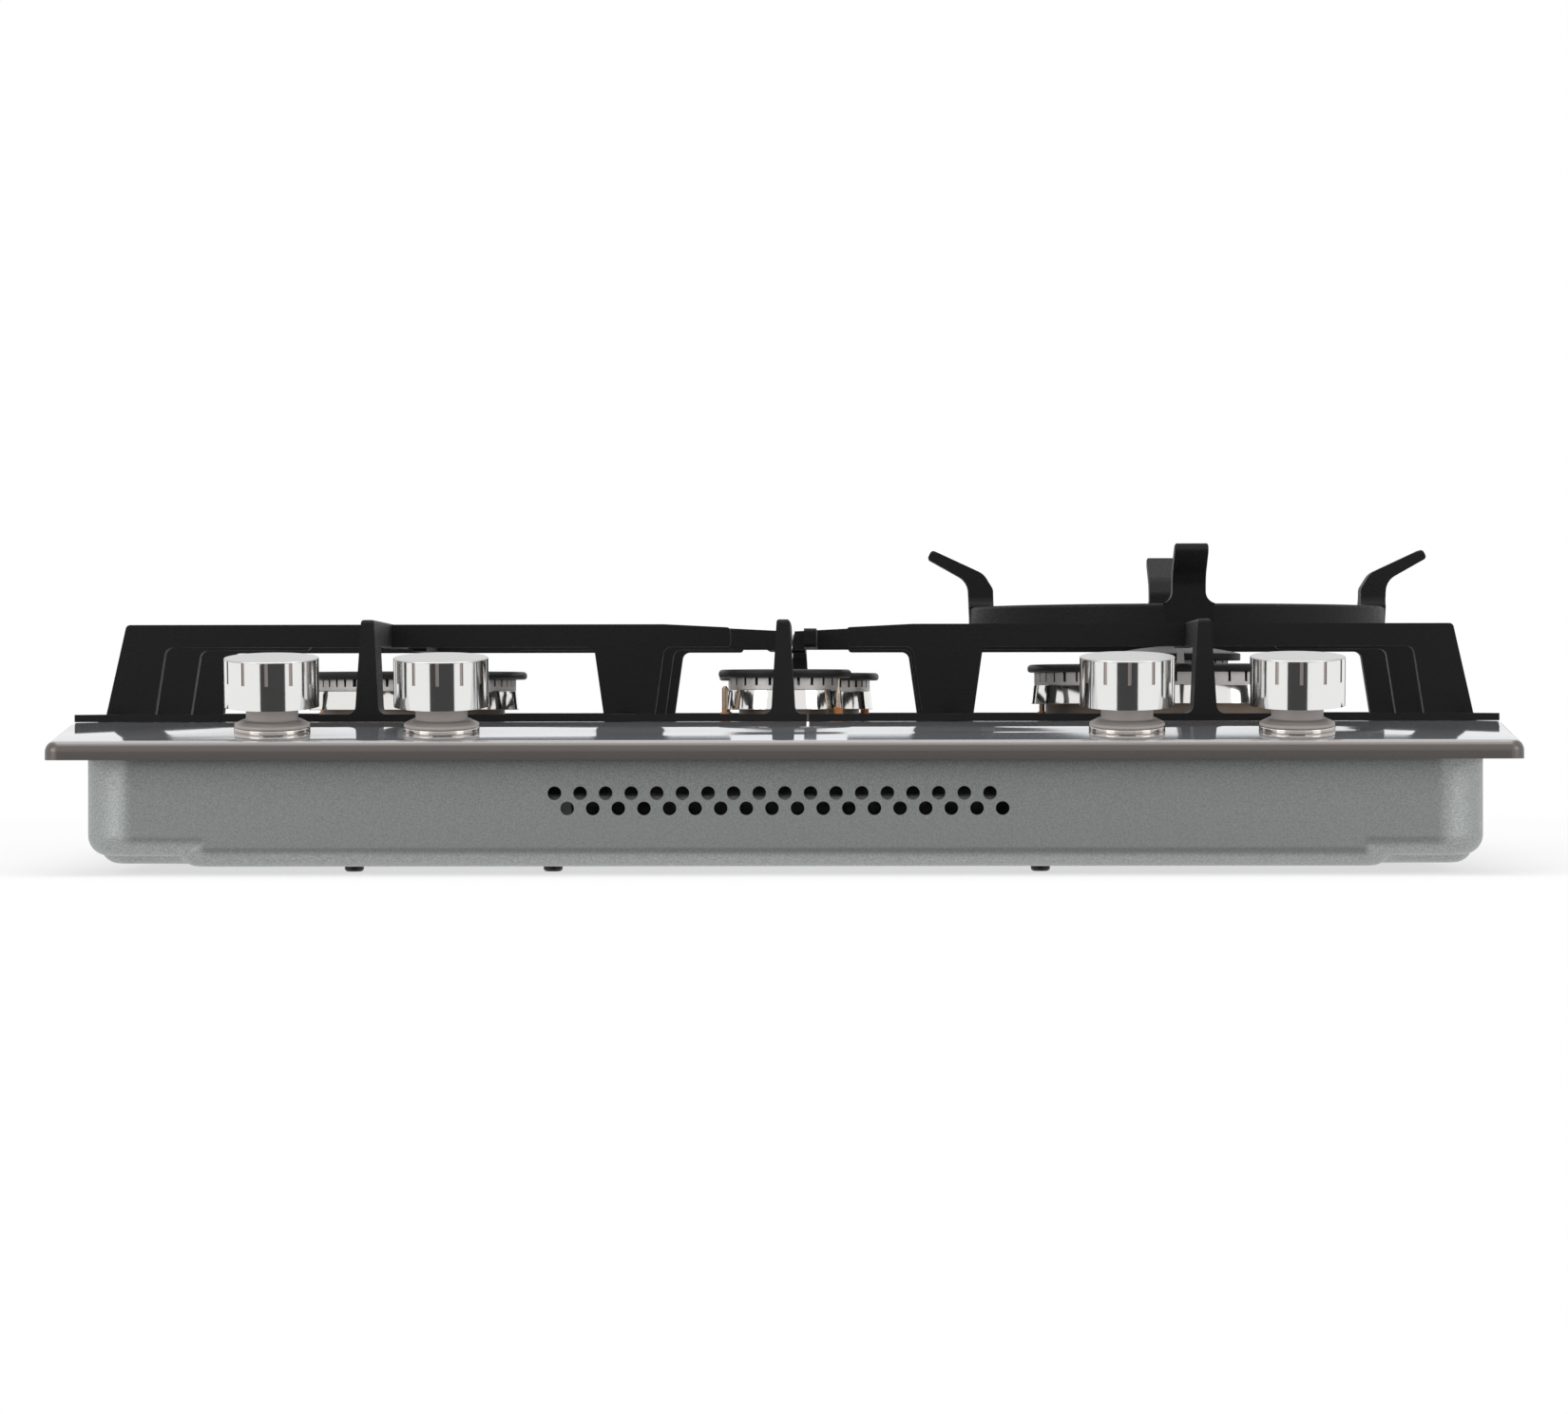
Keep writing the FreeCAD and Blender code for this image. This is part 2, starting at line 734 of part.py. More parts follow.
def tape_frame(name, shrink, z, height):
    """A flat rectangle as large as the tape's outline, less a margin all round."""
    return box(name, tape_outside_x - shrink, tape_outside_y - shrink, height,
               -((tape_outside_x - shrink) / 2), -((tape_outside_y - shrink) / 2), z)


tape = cut("tape_square", tape_frame("tape_outside", ZERO, worktop, s.hem_lift),
           tape_frame("tape_inside", s.tape_width * 2, worktop - 1, s.hem_lift + 2))
corner_blocks = []
for side_x in (-1, 1):
    for side_y in (-1, 1):
        block = doc.addObject("Part::Box", "tape_corner_%d" % (len(corner_blocks) + 1))
        for side in ("Length", "Width"):
            block.setExpression(side, (tape_mitre * 2).text)
        block.setExpression("Height", (s.hem_lift * 3).text)
        half = tape_mitre.number * math.sqrt(2)
        centre_x = side_x * (tape_outside_x.number / 2)
        centre_y = side_y * (tape_outside_y.number / 2)
        block.Placement = Placement(Vector(centre_x, centre_y - half, worktop.number - s.hem_lift.number),
                                    Rotation(Vector(0, 0, 1), 45))
        corner_blocks.append(block)
rim_seal = node(cut("rim_seal", tape, *corner_blocks))

# ---------------------------------------------------------------------------------------------
# Case: deep-drawn galvanised tray with raised corners, vents in its front and a hole per screw
# ---------------------------------------------------------------------------------------------


def notched_plan(half_x, half_y, notch_x, notch_y, z):
    """The deep part of the case's floor in plan: a rectangle without its four corners."""
    corners = []
    for side_x, side_y, start_on_x in ((1, 1, True), (-1, 1, False), (-1, -1, True), (1, -1, False)):
        on_side = (side_x * half_x, side_y * (half_y - notch_y))
        inner = (side_x * (half_x - notch_x), side_y * (half_y - notch_y))
        on_end = (side_x * (half_x - notch_x), side_y * half_y)
        corners += [on_side, inner, on_end] if start_on_x else [on_end, inner, on_side]
    points = [Vector(x, y, z) for x, y in corners]
    return Part.Face(Part.makePolygon(points + points[:1]))


def case_block(inset, top):
    """The case as a block: a full tray with its deeper floor, both rounded at the foot."""
    half_x = case_width.number / 2 - inset
    half_y = case_depth.number / 2 - inset
    low = floor_under.number + inset
    raised = low + s.relief_rise.number
    full = Part.makeBox(half_x * 2, half_y * 2, top - raised, Vector(-half_x, -half_y, raised))
    full = full.makeFillet(s.case_corner.number - inset, [edge for edge in full.Edges if is_upright(edge)])
    full = full.makeFillet(s.case_foot_round.number - inset,
                           [edge for edge in full.Edges if lies_at(edge, raised)])
    deep_height = s.relief_rise.number + s.case_foot_round.number * 2
    deep = notched_plan(half_x, half_y, s.relief_width.number, s.relief_depth.number, low)
    deep = deep.extrude(Vector(0, 0, deep_height))
    deep = deep.makeFillet(s.relief_round.number - inset, [edge for edge in deep.Edges if is_upright(edge)])
    deep = deep.makeFillet(s.case_foot_round.number - inset,
                           [edge for edge in deep.Edges if lies_at(edge, low)])
    return full.fuse(deep.common(full_column(half_x, half_y, inset, low, deep_height))).removeSplitter()


def full_column(half_x, half_y, inset, low, height):
    """The room inside the case's rounded corners."""
    column = Part.makeBox(half_x * 2, half_y * 2, height, Vector(-half_x, -half_y, low))
    return column.makeFillet(s.case_corner.number - inset,
                             [edge for edge in column.Edges if is_upright(edge)])


def is_upright(edge):
    return edge.BoundBox.XLength < 0.001 and edge.BoundBox.YLength < 0.001


def lies_at(edge, height):
    return edge.BoundBox.ZLength < 0.001 and abs(edge.BoundBox.ZMax - height) < 0.001


def under_plate():
    """The space below the plate, with a hair's room for the sealing putty."""
    lid = (s.plate_sheet + s.putty_gap).number
    slope_shift = lid / math.cos(APRON_ANGLE)
    top = surface.number
    start = front.number
    half_depth = s.plate_depth.number / 2
    slope_end = start + s.apron_depth.number - (slope_shift - lid) / math.tan(APRON_ANGLE)
    corners = [(start, 0.0, 0), (start, top - s.apron_drop.number - slope_shift, 0),
               (slope_end, top - lid, 0), (half_depth, top - lid, 0), (half_depth, 0.0, 0)]
    return plate_of(corners, s.plate_width.number, 0.0, "YZ")


case_top = surface.number + 2
case_shell = case_block(0.0, case_top).cut(case_block(s.case_sheet.number, case_top + 2))
case_form = solid("case_form", case_shell.common(under_plate()))

rail_y = tap_point(0, s.rail_setback.number, -s.rail_drop.number).y
rail_z = tap_point(0, s.rail_setback.number, -s.rail_drop.number).z
SADDLE_X = [-(tap_x_outer - s.saddle_left_step), -(tap_x_inner - s.saddle_middle_step),
            tap_x_inner - s.saddle_right_step]
SCREW_PLACES = [(x.number, rail_y) for x in SADDLE_X]
foot_reach = (s.bracket_span.number + s.bracket_foot.number) / 2
for burner in BURNERS:
    for side in (-1, 1):
        SCREW_PLACES.append((burner.x.number + side * foot_reach, burner.y.number))


def case_cutters():
    """Round holes through the case: vents, screws, clamps, gas inlet and mains lead."""
    holes = []
    front_wall = -case_depth.number / 2
    through = s.case_sheet.number * 6
    for row in range(2):
        height = worktop.number - s.vent_drop.number - row * s.vent_row_gap.number
        for hole in range(int(s.vent_count.number)):
            x = s.vent_start.number + row * s.vent_stagger.number + hole * s.vent_pitch.number
            holes.append(Part.makeCylinder(s.vent_bore.number / 2, through,
                                           Vector(x, front_wall - through / 2, height), Vector(0, 1, 0)))
    for x, y in SCREW_PLACES:
        holes.append(Part.makeCylinder(s.screw_hole.number / 2, through,
                                       Vector(x, y, floor_under.number - through / 2)))
    clamp_x = case_width.number / 2 - s.clamp_inset.number
    clamp_y = case_depth.number / 2 - s.clamp_inset.number
    clamp_z = floor_under.number + s.relief_rise.number - through / 2
    for side_x in (-1, 1):
        for side_y in (-1, 1):
            holes.append(Part.makeCylinder(s.clamp_hole.number / 2, through,
                                           Vector(side_x * clamp_x, side_y * clamp_y, clamp_z)))
    back_wall = case_depth.number / 2 - through / 2
    holes.append(Part.makeCylinder(s.inlet_hole.number / 2, through,
                                   Vector(inlet_x.number, back_wall, rail_z), Vector(0, 1, 0)))
    holes.append(Part.makeCylinder(s.grommet_diameter.number / 2, through,
                                   Vector(module_x.number, back_wall, rail_z), Vector(0, 1, 0)))
    return Part.makeCompound(holes)


bottom_case = node(cut("bottom_case", case_form, solid("case_holes", case_cutters())))

# Pan-head screws from below: three hold the rail saddles, two each burner bracket.
screws = []
for number, (x, y) in enumerate(SCREW_PLACES, 1):
    screw = turned("screw_%d" % number, [
        (ZERO, ZERO), (s.screw_head / 2, ZERO), (s.screw_head / 2, s.screw_head_height),
        (s.screw_shank / 2, s.screw_head_height), (s.screw_shank / 2, s.screw_head_height + s.screw_length),
        (ZERO, s.screw_head_height + s.screw_length)])
    rounded(screw, "screw_%d_dome" % number, s.screw_dome,
            circle_at(s.screw_head.number / 2, 0.0))
    screws.append(place(screw, x, y, ZERO))
case_screws = node(group("case_screws", *screws))

# ---------------------------------------------------------------------------------------------
# Gas rail along the front, turned back at the right to the inlet in the rear wall
# ---------------------------------------------------------------------------------------------
hex_start = case_depth.number / 2 - s.case_sheet.number - s.inlet_hex_length.number - s.inlet_wall_gap.number
rail_points = [Vector(-(tap_x_outer + s.rail_overrun).number, rail_y, rail_z),
               Vector(inlet_x.number, rail_y, rail_z), Vector(inlet_x.number, hex_start, rail_z)]
rail_outer = tube(rail_points, s.rail_outside.number, s.rail_bend.number)
rail_inner_points = [rail_points[0] + Vector(3, 0, 0), rail_points[1], rail_points[2] + Vector(0, 1, 0)]
rail_inner = tube(rail_inner_points, s.rail_bore.number, s.rail_bend.number)
gas_rail = node(solid("gas_rail", rail_outer.cut(rail_inner)))


def inlet_shape():
    """Hexagon nut and threaded stub with a through bore."""
    centre = Vector(inlet_x.number, hex_start, rail_z)
    radius = s.inlet_hex.number / math.sqrt(3)
    points = [centre + Vector(radius * math.cos(math.radians(60 * i)), 0,
                              radius * math.sin(math.radians(60 * i))) for i in range(6)]
    nut = Part.Face(Part.makePolygon(points + points[:1])).extrude(Vector(0, s.inlet_hex_length.number, 0))
    length = case_depth.number / 2 + s.inlet_reach.number - hex_start
    stub = Part.makeCylinder(s.inlet_thread.number / 2, length, centre, Vector(0, 1, 0))
    collar_length = case_depth.number / 2 + s.inlet_collar_reach.number - hex_start
    stub = stub.fuse(Part.makeCylinder(s.inlet_collar.number / 2, collar_length, centre, Vector(0, 1, 0)))
    bore = Part.makeCylinder(s.inlet_bore.number / 2, length + 2, centre - Vector(0, 1, 0), Vector(0, 1, 0))
    return nut.fuse(stub).cut(bore)


gas_inlet = node(solid("gas_inlet", inlet_shape()))

rail_envelope = rod("rail_envelope", s.rail_outside, s.plate_width, -(s.plate_width / 2), rail_y, rail_z)
rail_envelope.Placement = Placement(rail_envelope.Placement.Base, Rotation(Vector(0, 1, 0), 90))
saddles = []
for number, x in enumerate(SADDLE_X, 1):
    post = box("saddle_post_%d" % number, s.saddle_width, s.saddle_length, rail_z - floor_top.number,
               x - s.saddle_width / 2, rail_y - s.saddle_length.number / 2, floor_top)
    pilot = rod("saddle_pilot_%d" % number, s.screw_shank + 0.1, s.screw_length + 0.2,
                x, rail_y, floor_under)
    saddles.append(cut("saddle_%d" % number, post, rail_envelope, pilot))
rail_saddles = node(group("rail_saddles", *saddles))

# ---------------------------------------------------------------------------------------------
# Taps
# ---------------------------------------------------------------------------------------------
tap_parts = []
switches = []
seals = []
bezels = []
for tap in range(len(TAP_X)):
    number = tap + 1
    tap_foot = -(s.tap_top + s.tap_length)
    barrel = turned("tap_barrel_%d" % number, [
        (ZERO, tap_foot), (s.tap_diameter / 2, tap_foot), (s.tap_diameter / 2, -s.tap_top),
        (s.spindle_diameter / 2 + 0.3, -s.tap_top), (s.spindle_diameter / 2 + 0.3, -s.tap_chamber_top),
        (s.tap_bore / 2, -s.tap_chamber_top), (s.tap_bore / 2, chamber_floor),
        (s.rod_bore / 2, chamber_floor), (s.rod_bore / 2, tap_foot + 2), (ZERO, tap_foot + 2)])
    rail_boss = rod_along_y("rail_boss_%d" % number, s.tap_diameter * 0.7,
                            s.rail_setback - s.tap_bore / 2, ZERO, s.tap_bore / 2 + 1, -s.rail_drop)
    outlet = rod_along_y("tap_outlet_%d" % number, s.outlet_diameter, s.outlet_reach - s.tap_bore / 2,
                         ZERO, s.tap_bore / 2 + 1, -s.outlet_drop)
    rail_room = rod("rail_room_%d" % number, s.rail_outside, s.rail_outside * 4,
                    -(s.rail_outside * 2), s.rail_setback, -s.rail_drop)
    rail_room.Placement = Placement(rail_room.Placement.Base, Rotation(Vector(0, 1, 0), 90))
    tap_form = fuse("tap_form_%d" % number, barrel, rail_boss, outlet)
    node(on_tap(cut("tap_body_%d" % number, tap_form, rail_room), tap))

    switch = box("switch_%d" % number, s.switch_width, s.switch_length, s.switch_height,
                 -(s.tap_diameter / 2) - s.switch_width, -(s.switch_length / 2),
                 -(s.tap_top + s.switch_height + 4))
    switches.append(on_tap(group("switch_seat_%d" % number, switch), tap))

    seal = turned("seal_%d" % number, [
        (s.seal_bore / 2, s.bezel_height), (s.seal_flange / 2, s.bezel_height),
        (s.seal_flange / 2, s.bezel_height + s.seal_flange_edge),
        (s.seal_collar / 2 + s.seal_wall, s.bezel_height + s.seal_flange_rise),
        (s.seal_collar / 2, s.bezel_height + s.seal_flange_rise),
        (s.seal_collar / 2, s.seal_height), (s.seal_collar / 2 - s.seal_wall, s.seal_height),
        (s.seal_collar / 2 - s.seal_wall, s.bezel_height + s.seal_flange_edge),
        (s.seal_bore / 2, s.bezel_height + s.seal_flange_edge)])
    seals.append(on_tap(seal, tap))
    bezel = turned("bezel_%d" % number, [
        (s.bezel_inside / 2, ZERO), (s.bezel_diameter / 2, ZERO),
        (s.bezel_diameter / 2, s.bezel_height), (s.bezel_inside / 2, s.bezel_height)])
    rounded(bezel, "bezel_%d_round" % number, s.bezel_round,
            circle_at(s.bezel_diameter.number / 2, s.bezel_height.number))
    bezels.append(on_tap(bezel, tap))
node(group("ignition_switches", *switches))
node(group("knob_seals", *seals))
node(group("knob_bezels", *bezels))

# Spindle with a flat at its top, valve rod under it, and the spring that lifts both.
for tap in range(len(TAP_X)):
    number = tap + 1
    spindle_round = turned("spindle_round_%d" % number, [
        (ZERO, collar_foot), (s.spindle_collar / 2, collar_foot),
        (s.spindle_collar / 2, -s.spindle_collar_top), (s.spindle_diameter / 2, -s.spindle_collar_top),
        (s.spindle_diameter / 2, s.spindle_top), (ZERO, s.spindle_top)])
    flat_length = s.spindle_top - s.knob_boss_start
    flat = box("spindle_flat_%d" % number, s.spindle_diameter * 2, s.spindle_diameter, flat_length + 1,
               -s.spindle_diameter, s.spindle_flat - s.spindle_diameter / 2, s.knob_boss_start)
    node(on_tap(cut("spindle_%d" % number, spindle_round, flat), tap))

    valve_rod = turned("valve_rod_%d" % number, [
        (ZERO, rod_top - s.rod_flange_height - s.rod_length),
        (s.rod_diameter / 2, rod_top - s.rod_flange_height - s.rod_length),
        (s.rod_diameter / 2, rod_top - s.rod_flange_height),
        (s.rod_flange / 2, rod_top - s.rod_flange_height), (s.rod_flange / 2, rod_top), (ZERO, rod_top)])
    node(on_tap(valve_rod, tap))

    wire = s.spring_wire.number
    coil_low = chamber_floor.number + wire / 2 + s.seat_gap.number
    coil_height = spring_top.number - s.seat_gap.number - wire / 2 - coil_low
    helix = Part.makeHelix(coil_height / s.spring_turns.number, coil_height, s.spring_diameter.number / 2)
    helix.translate(Vector(0, 0, coil_low))
    start_point = helix.Edges[0].valueAt(helix.Edges[0].FirstParameter)
    start_direction = helix.Edges[0].tangentAt(helix.Edges[0].FirstParameter)
    section = Part.Wire(Part.Circle(start_point, start_direction, wire / 2).toShape())
    coil = Part.Wire(helix.Edges).makePipeShell([section], True, True)
    node(on_tap(solid("valve_spring_%d" % number, coil), tap))

# Knob: a turned aluminium cap with a D bore in its boss and engraved marks round its skirt.
for tap in range(len(TAP_X)):
    number = tap + 1
    top = s.knob_gap + s.knob_height
    knob_blank = turned("knob_blank_%d" % number, [
        (ZERO, s.knob_boss_start), (s.knob_boss / 2, s.knob_boss_start), (s.knob_boss / 2, top - s.knob_top),
        (s.knob_diameter / 2 - s.knob_wall, top - s.knob_top),
        (s.knob_diameter / 2 - s.knob_wall, s.knob_gap),
        (s.knob_diameter / 2, s.knob_gap), (s.knob_diameter / 2, top - s.knob_chamfer),
        (s.knob_diameter / 2 - s.knob_chamfer, top), (ZERO, top)])
    bore_round = rod("knob_bore_round_%d" % number, s.spindle_diameter + s.knob_bore_clearance * 2,
                     s.knob_bore_depth + 1, ZERO, ZERO, s.knob_boss_start - 1)
    bore_flat = box("knob_bore_flat_%d" % number, s.spindle_diameter * 2, s.spindle_diameter,
                    s.knob_bore_depth + 2, -s.spindle_diameter,
                    s.spindle_flat - s.spindle_diameter / 2 + s.knob_bore_clearance, s.knob_boss_start - 1)
    d_bore = cut("knob_bore_%d" % number, bore_round, bore_flat)
    marks = []
    for mark in range(int(s.mark_count.number)):
        groove = Part.makeBox(s.mark_depth.number * 2, s.mark_width.number, s.mark_length.number + 1,
                              Vector(s.knob_diameter.number / 2 - s.mark_depth.number,
                                     -s.mark_width.number / 2, (top - s.mark_length).number))
        groove.rotate(Vector(0, 0, 0), Vector(0, 0, 1), 360.0 * mark / s.mark_count.number + 90.0)
        marks.append(groove)
    mark_set = solid("knob_marks_%d" % number, Part.makeCompound(marks))
    node(on_tap(cut("knob_%d" % number, knob_blank, d_bore, mark_set), tap))

# ---------------------------------------------------------------------------------------------
# Burners: cup, slotted ring and cap
# ---------------------------------------------------------------------------------------------


def slots(name, count, inner, outer, width, low, height):
    """Flame ports: upright slots through a ring's wall."""
    cutters = []
    for index in range(int(count)):
        wide = s.wide_slot_width.number if index % int(s.wide_slot_every.number) == 0 else width
        slot = Part.makeBox(outer - inner, wide, height, Vector(inner, -wide / 2, low))
        slot.rotate(Vector(0, 0, 0), Vector(0, 0, 1), 360.0 * index / count)
        cutters.append(slot)
    return solid(name, Part.makeCompound(cutters))


for burner in BURNERS:
    cup = turned(burner.name + "_burner_cup", [
        (s.cup_bore / 2, -s.cup_depth), (burner.neck, -s.cup_depth), (burner.neck, ZERO), (burner.foot, ZERO),
        (burner.foot, burner.underside), (burner.cup + s.cup_flare, burner.underside),
        (burner.cup, burner.rim), (burner.cup - s.cup_wall, burner.rim),
        (burner.cup - s.cup_wall, burner.underside + s.cup_wall),
        (s.cup_bore / 2, burner.underside + s.cup_wall)])
    node(place(cup, burner.x, burner.y, surface))

    skirt = burner.cup - s.cup_wall - s.ring_clearance
    wall_inside = burner.ring - s.ring_wall
    ring_corners = [
        (skirt - s.ring_floor, burner.seat - s.ring_skirt), (skirt, burner.seat - s.ring_skirt),
        (skirt, burner.seat), (burner.ring, burner.seat), (burner.ring, burner.top),
        (wall_inside, burner.top), (wall_inside, burner.seat + s.ring_floor)]
    if burner.name == "wok":
        crown = s.wok_crown / 2
        inner_ring = s.wok_annulus_inside / 2
        ring_corners += [
            (inner_ring + s.ring_wall, burner.seat + s.ring_floor), (inner_ring + s.ring_wall, burner.top),
            (inner_ring, burner.top), (inner_ring, burner.seat + s.ring_floor),
            (crown, burner.seat + s.ring_floor), (crown, s.wok_crown_top),
            (crown - s.ring_wall, s.wok_crown_top), (crown - s.ring_wall, burner.seat + s.ring_floor)]
    ring_corners += [(s.riser_bore / 2, burner.seat + s.ring_floor), (s.riser_bore / 2, burner.seat),
                     (skirt - s.ring_floor, burner.seat)]
    ring_blank = turned(burner.name + "_ring_blank", ring_corners)
    reach = (burner.ring + 1).number
    ports = [slots(burner.name + "_ports", burner.slots.number, (wall_inside - 0.5).number, reach,
                   s.slot_width.number, (burner.top - burner.slot_height).number,
                   burner.slot_height.number + 1)]
    if burner.name == "wok":
        ports.append(slots("wok_inner_ports", s.wok_inner_slots.number, inner_ring.number - 1,
                           (inner_ring + s.ring_wall).number + 0.5, s.slot_width.number,
                           (burner.top - s.slot_height).number, s.slot_height.number + 1))
        ports.append(slots("wok_crown_ports", s.wok_crown_slots.number, (crown - s.ring_wall).number - 0.5,
                           crown.number + 1, s.slot_width.number,
                           (s.wok_crown_top - s.slot_height).number, s.slot_height.number + 1))
        lug_foot = (burner.seat + s.ring_floor).number - 0.5
        lug = plate_of([(-s.wok_lug_foot.number / 2, lug_foot, 0),
                        (-s.wok_lug_head.number / 2, s.wok_lug_top.number, 0.6),
                        (s.wok_lug_head.number / 2, s.wok_lug_top.number, 0.6),
                        (s.wok_lug_foot.number / 2, lug_foot, 0)],
                       s.wok_lug_thickness.number, -s.wok_lug_distance.number)
        ring_blank = fuse("wok_ring_with_lug", ring_blank, solid("wok_lug", lug))
    ring = cut(burner.name + "_burner_ring", ring_blank, *ports)
    node(place(ring, burner.x, burner.y, surface))

    cap_foot = burner.top + s.seat_gap
    cap_top = cap_foot + s.cap_thickness
    lip_outside = wall_inside - s.ring_clearance
    lip = [(lip_outside, cap_foot), (lip_outside, cap_foot - s.cap_lip),
           (lip_outside - s.cap_lip, cap_foot - s.cap_lip), (lip_outside - s.cap_lip, cap_foot)]
    if burner.name == "wok":
        hole = s.wok_annulus_inside / 2 - s.ring_floor
        cap = turned("wok_outer_cap", [(hole, cap_foot)] + lip[::-1] + [
            (burner.cap, cap_foot), (burner.cap, cap_top), (hole, cap_top)])
        cap_name = "wok_outer_cap"
    else:
        cap_name = burner.name + "_burner_cap"
        cap = turned(cap_name, [(ZERO, cap_foot)] + lip[::-1] + [
            (burner.cap, cap_foot), (burner.cap, cap_top), (ZERO, cap_top)])
    rounded(cap, cap_name + "_edge", s.cap_round, circle_at(burner.cap.number, cap_top.number))
    rounded(cap, cap_name + "_lower_edge", s.cap_round * 0.8, circle_at(burner.cap.number, cap_foot.number))
    node(place(cap, burner.x, burner.y, surface))

rapid, auxiliary, semi, wok = BURNERS
centre_foot = s.wok_crown_top + s.seat_gap
centre_side = centre_foot + s.wok_centre_edge
centre_lip = s.wok_crown / 2 - s.ring_wall - s.ring_clearance
dome_cap = turned("wok_centre_blank", [
    (ZERO, centre_foot), (centre_lip - s.cap_lip, centre_foot),
    (centre_lip - s.cap_lip, centre_foot - s.cap_lip),
    (centre_lip, centre_foot - s.cap_lip), (centre_lip, centre_foot), (s.wok_centre_cap / 2, centre_foot),
    (s.wok_centre_cap / 2, centre_side), (ZERO, centre_side)])


def dome(radius, rise, low):
    """A shallow spherical cap, by its rim radius and its rise."""
    ball = (radius * radius + rise * rise) / (2 * rise)
    sphere = Part.makeSphere(ball, Vector(0, 0, low + rise - ball))
    keep = Part.makeCylinder(radius, rise + 1, Vector(0, 0, low))
    return sphere.common(keep)


dome_top = solid("wok_centre_dome_form", dome(s.wok_centre_cap.number / 2, s.wok_centre_dome.number,
                                              centre_side.number))
node(place(fuse("wok_centre_cap", dome_cap, dome_top), wok.x, wok.y, surface))

# ---------------------------------------------------------------------------------------------
# Under each burner: a bracket, the jet in it, and the pipe from its tap
# ---------------------------------------------------------------------------------------------
bracket_top = surface - s.cup_depth
brackets = []
jets = []
for burner in BURNERS:
    half = s.bracket_span / 2
    deck = box(burner.name + "_bracket_deck", s.bracket_span, s.bracket_width, s.bracket_sheet,
               burner.x - half, burner.y - s.bracket_width / 2, bracket_top - s.bracket_sheet)
    forms = [deck]
    for side, leg_x, foot_x in (("left", burner.x - half, burner.x - half - s.bracket_foot),
                                ("right", burner.x + half - s.bracket_sheet, burner.x + half)):
        forms.append(box("%s_bracket_%s_leg" % (burner.name, side), s.bracket_sheet, s.bracket_width,
                         bracket_top - floor_top, leg_x, burner.y - s.bracket_width / 2, floor_top))
        forms.append(box("%s_bracket_%s_foot" % (burner.name, side), s.bracket_foot, s.bracket_width,
                         s.bracket_sheet, foot_x, burner.y - s.bracket_width / 2, floor_top))
    blank = fuse(burner.name + "_bracket_blank", *forms)
    bores = [rod(burner.name + "_jet_hole", s.jet_neck + s.hole_clearance, s.bracket_sheet * 4,
                 burner.x, burner.y, bracket_top - s.bracket_sheet * 2)]
    for side in (-1, 1):
        bores.append(rod("%s_foot_hole_%d" % (burner.name, side + 2), s.screw_shank + 0.1,
                         s.bracket_sheet * 4,
                         burner.x + (s.bracket_span + s.bracket_foot) / 2 * side, burner.y,
                         floor_top - s.bracket_sheet))
    brackets.append(cut(burner.name + "_bracket", blank, *bores))

    jet_low = bracket_top - s.bracket_sheet - s.jet_length
    jet = turned(burner.name + "_jet", [
        (ZERO, ZERO), (s.jet_diameter / 2, ZERO), (s.jet_diameter / 2, s.jet_length),
        (s.jet_neck / 2, s.jet_length), (s.jet_neck / 2, s.jet_length + s.bracket_sheet + s.jet_neck_rise),
        (ZERO, s.jet_length + s.bracket_sheet + s.jet_neck_rise)])
    jets.append(place(jet, burner.x, burner.y, jet_low))
node(group("burner_brackets", *brackets))
node(group("burner_jets", *jets))

# Aluminium pipes: each leaves its tap over the rail, drops to the jets' level and runs to one burner.
low_run = (bracket_top - s.bracket_sheet - s.jet_length / 2).number
bend_y = rail_y + s.pipe_over_rail.number
drop_y = bend_y + s.pipe_fall_run.number


def gas_pipe(tap, burner, turns):
    """The pipe from a tap to a burner's jet, by the turns it makes on its way."""
    start = tap_point(tap, s.outlet_reach.number + 1, -s.outlet_drop.number)
    end = Vector(burner.x.number, burner.y.number - s.jet_diameter.number / 2, low_run)
    points = [start, Vector(start.x, bend_y, start.z), Vector(start.x, drop_y, low_run)]
    points += [Vector(x, y, low_run) for x, y in turns]
    points.append(end)
    return tube(points, s.pipe_diameter.number, s.pipe_bend.number)


def straight_turns(tap, burner):
    """A slant from the tap's line to the burner's, before the last straight run."""
    last = (burner.y - s.pipe_last_run).number
    return [(TAP_X[tap].number, last - s.pipe_slant.number), (burner.x.number, last)]


def crossing_turns(tap, burner):
    """Across behind the rail to the auxiliary burner, which stands close to the front."""
    level = drop_y + s.pipe_crossing.number
    return [((TAP_X[tap] + s.pipe_crossing - s.pipe_crossing_rise).number, level),
            (burner.x.number, level + s.pipe_crossing_rise.number)]


def lane_turns(tap, burner):
    """Back along the lane between the wok burner and the small ones, then in to the rear burner."""
    lane_x = (wok.x - s.pipe_lane_inset).number
    return [(TAP_X[tap].number, drop_y + s.pipe_semi_slant.number),
            (lane_x, (large_burner_y - s.pipe_lane_start).number),
            (lane_x, (large_burner_y + s.pipe_lane_end).number),
            (burner.x.number, (burner.y - s.pipe_semi_last).number)]


ROUTES = {rapid: straight_turns, auxiliary: crossing_turns, semi: lane_turns, wok: straight_turns}
for tap, burner in enumerate(BURNERS):
    node(solid(burner.name + "_gas_pipe", gas_pipe(tap, burner, ROUTES[burner](tap, burner))))

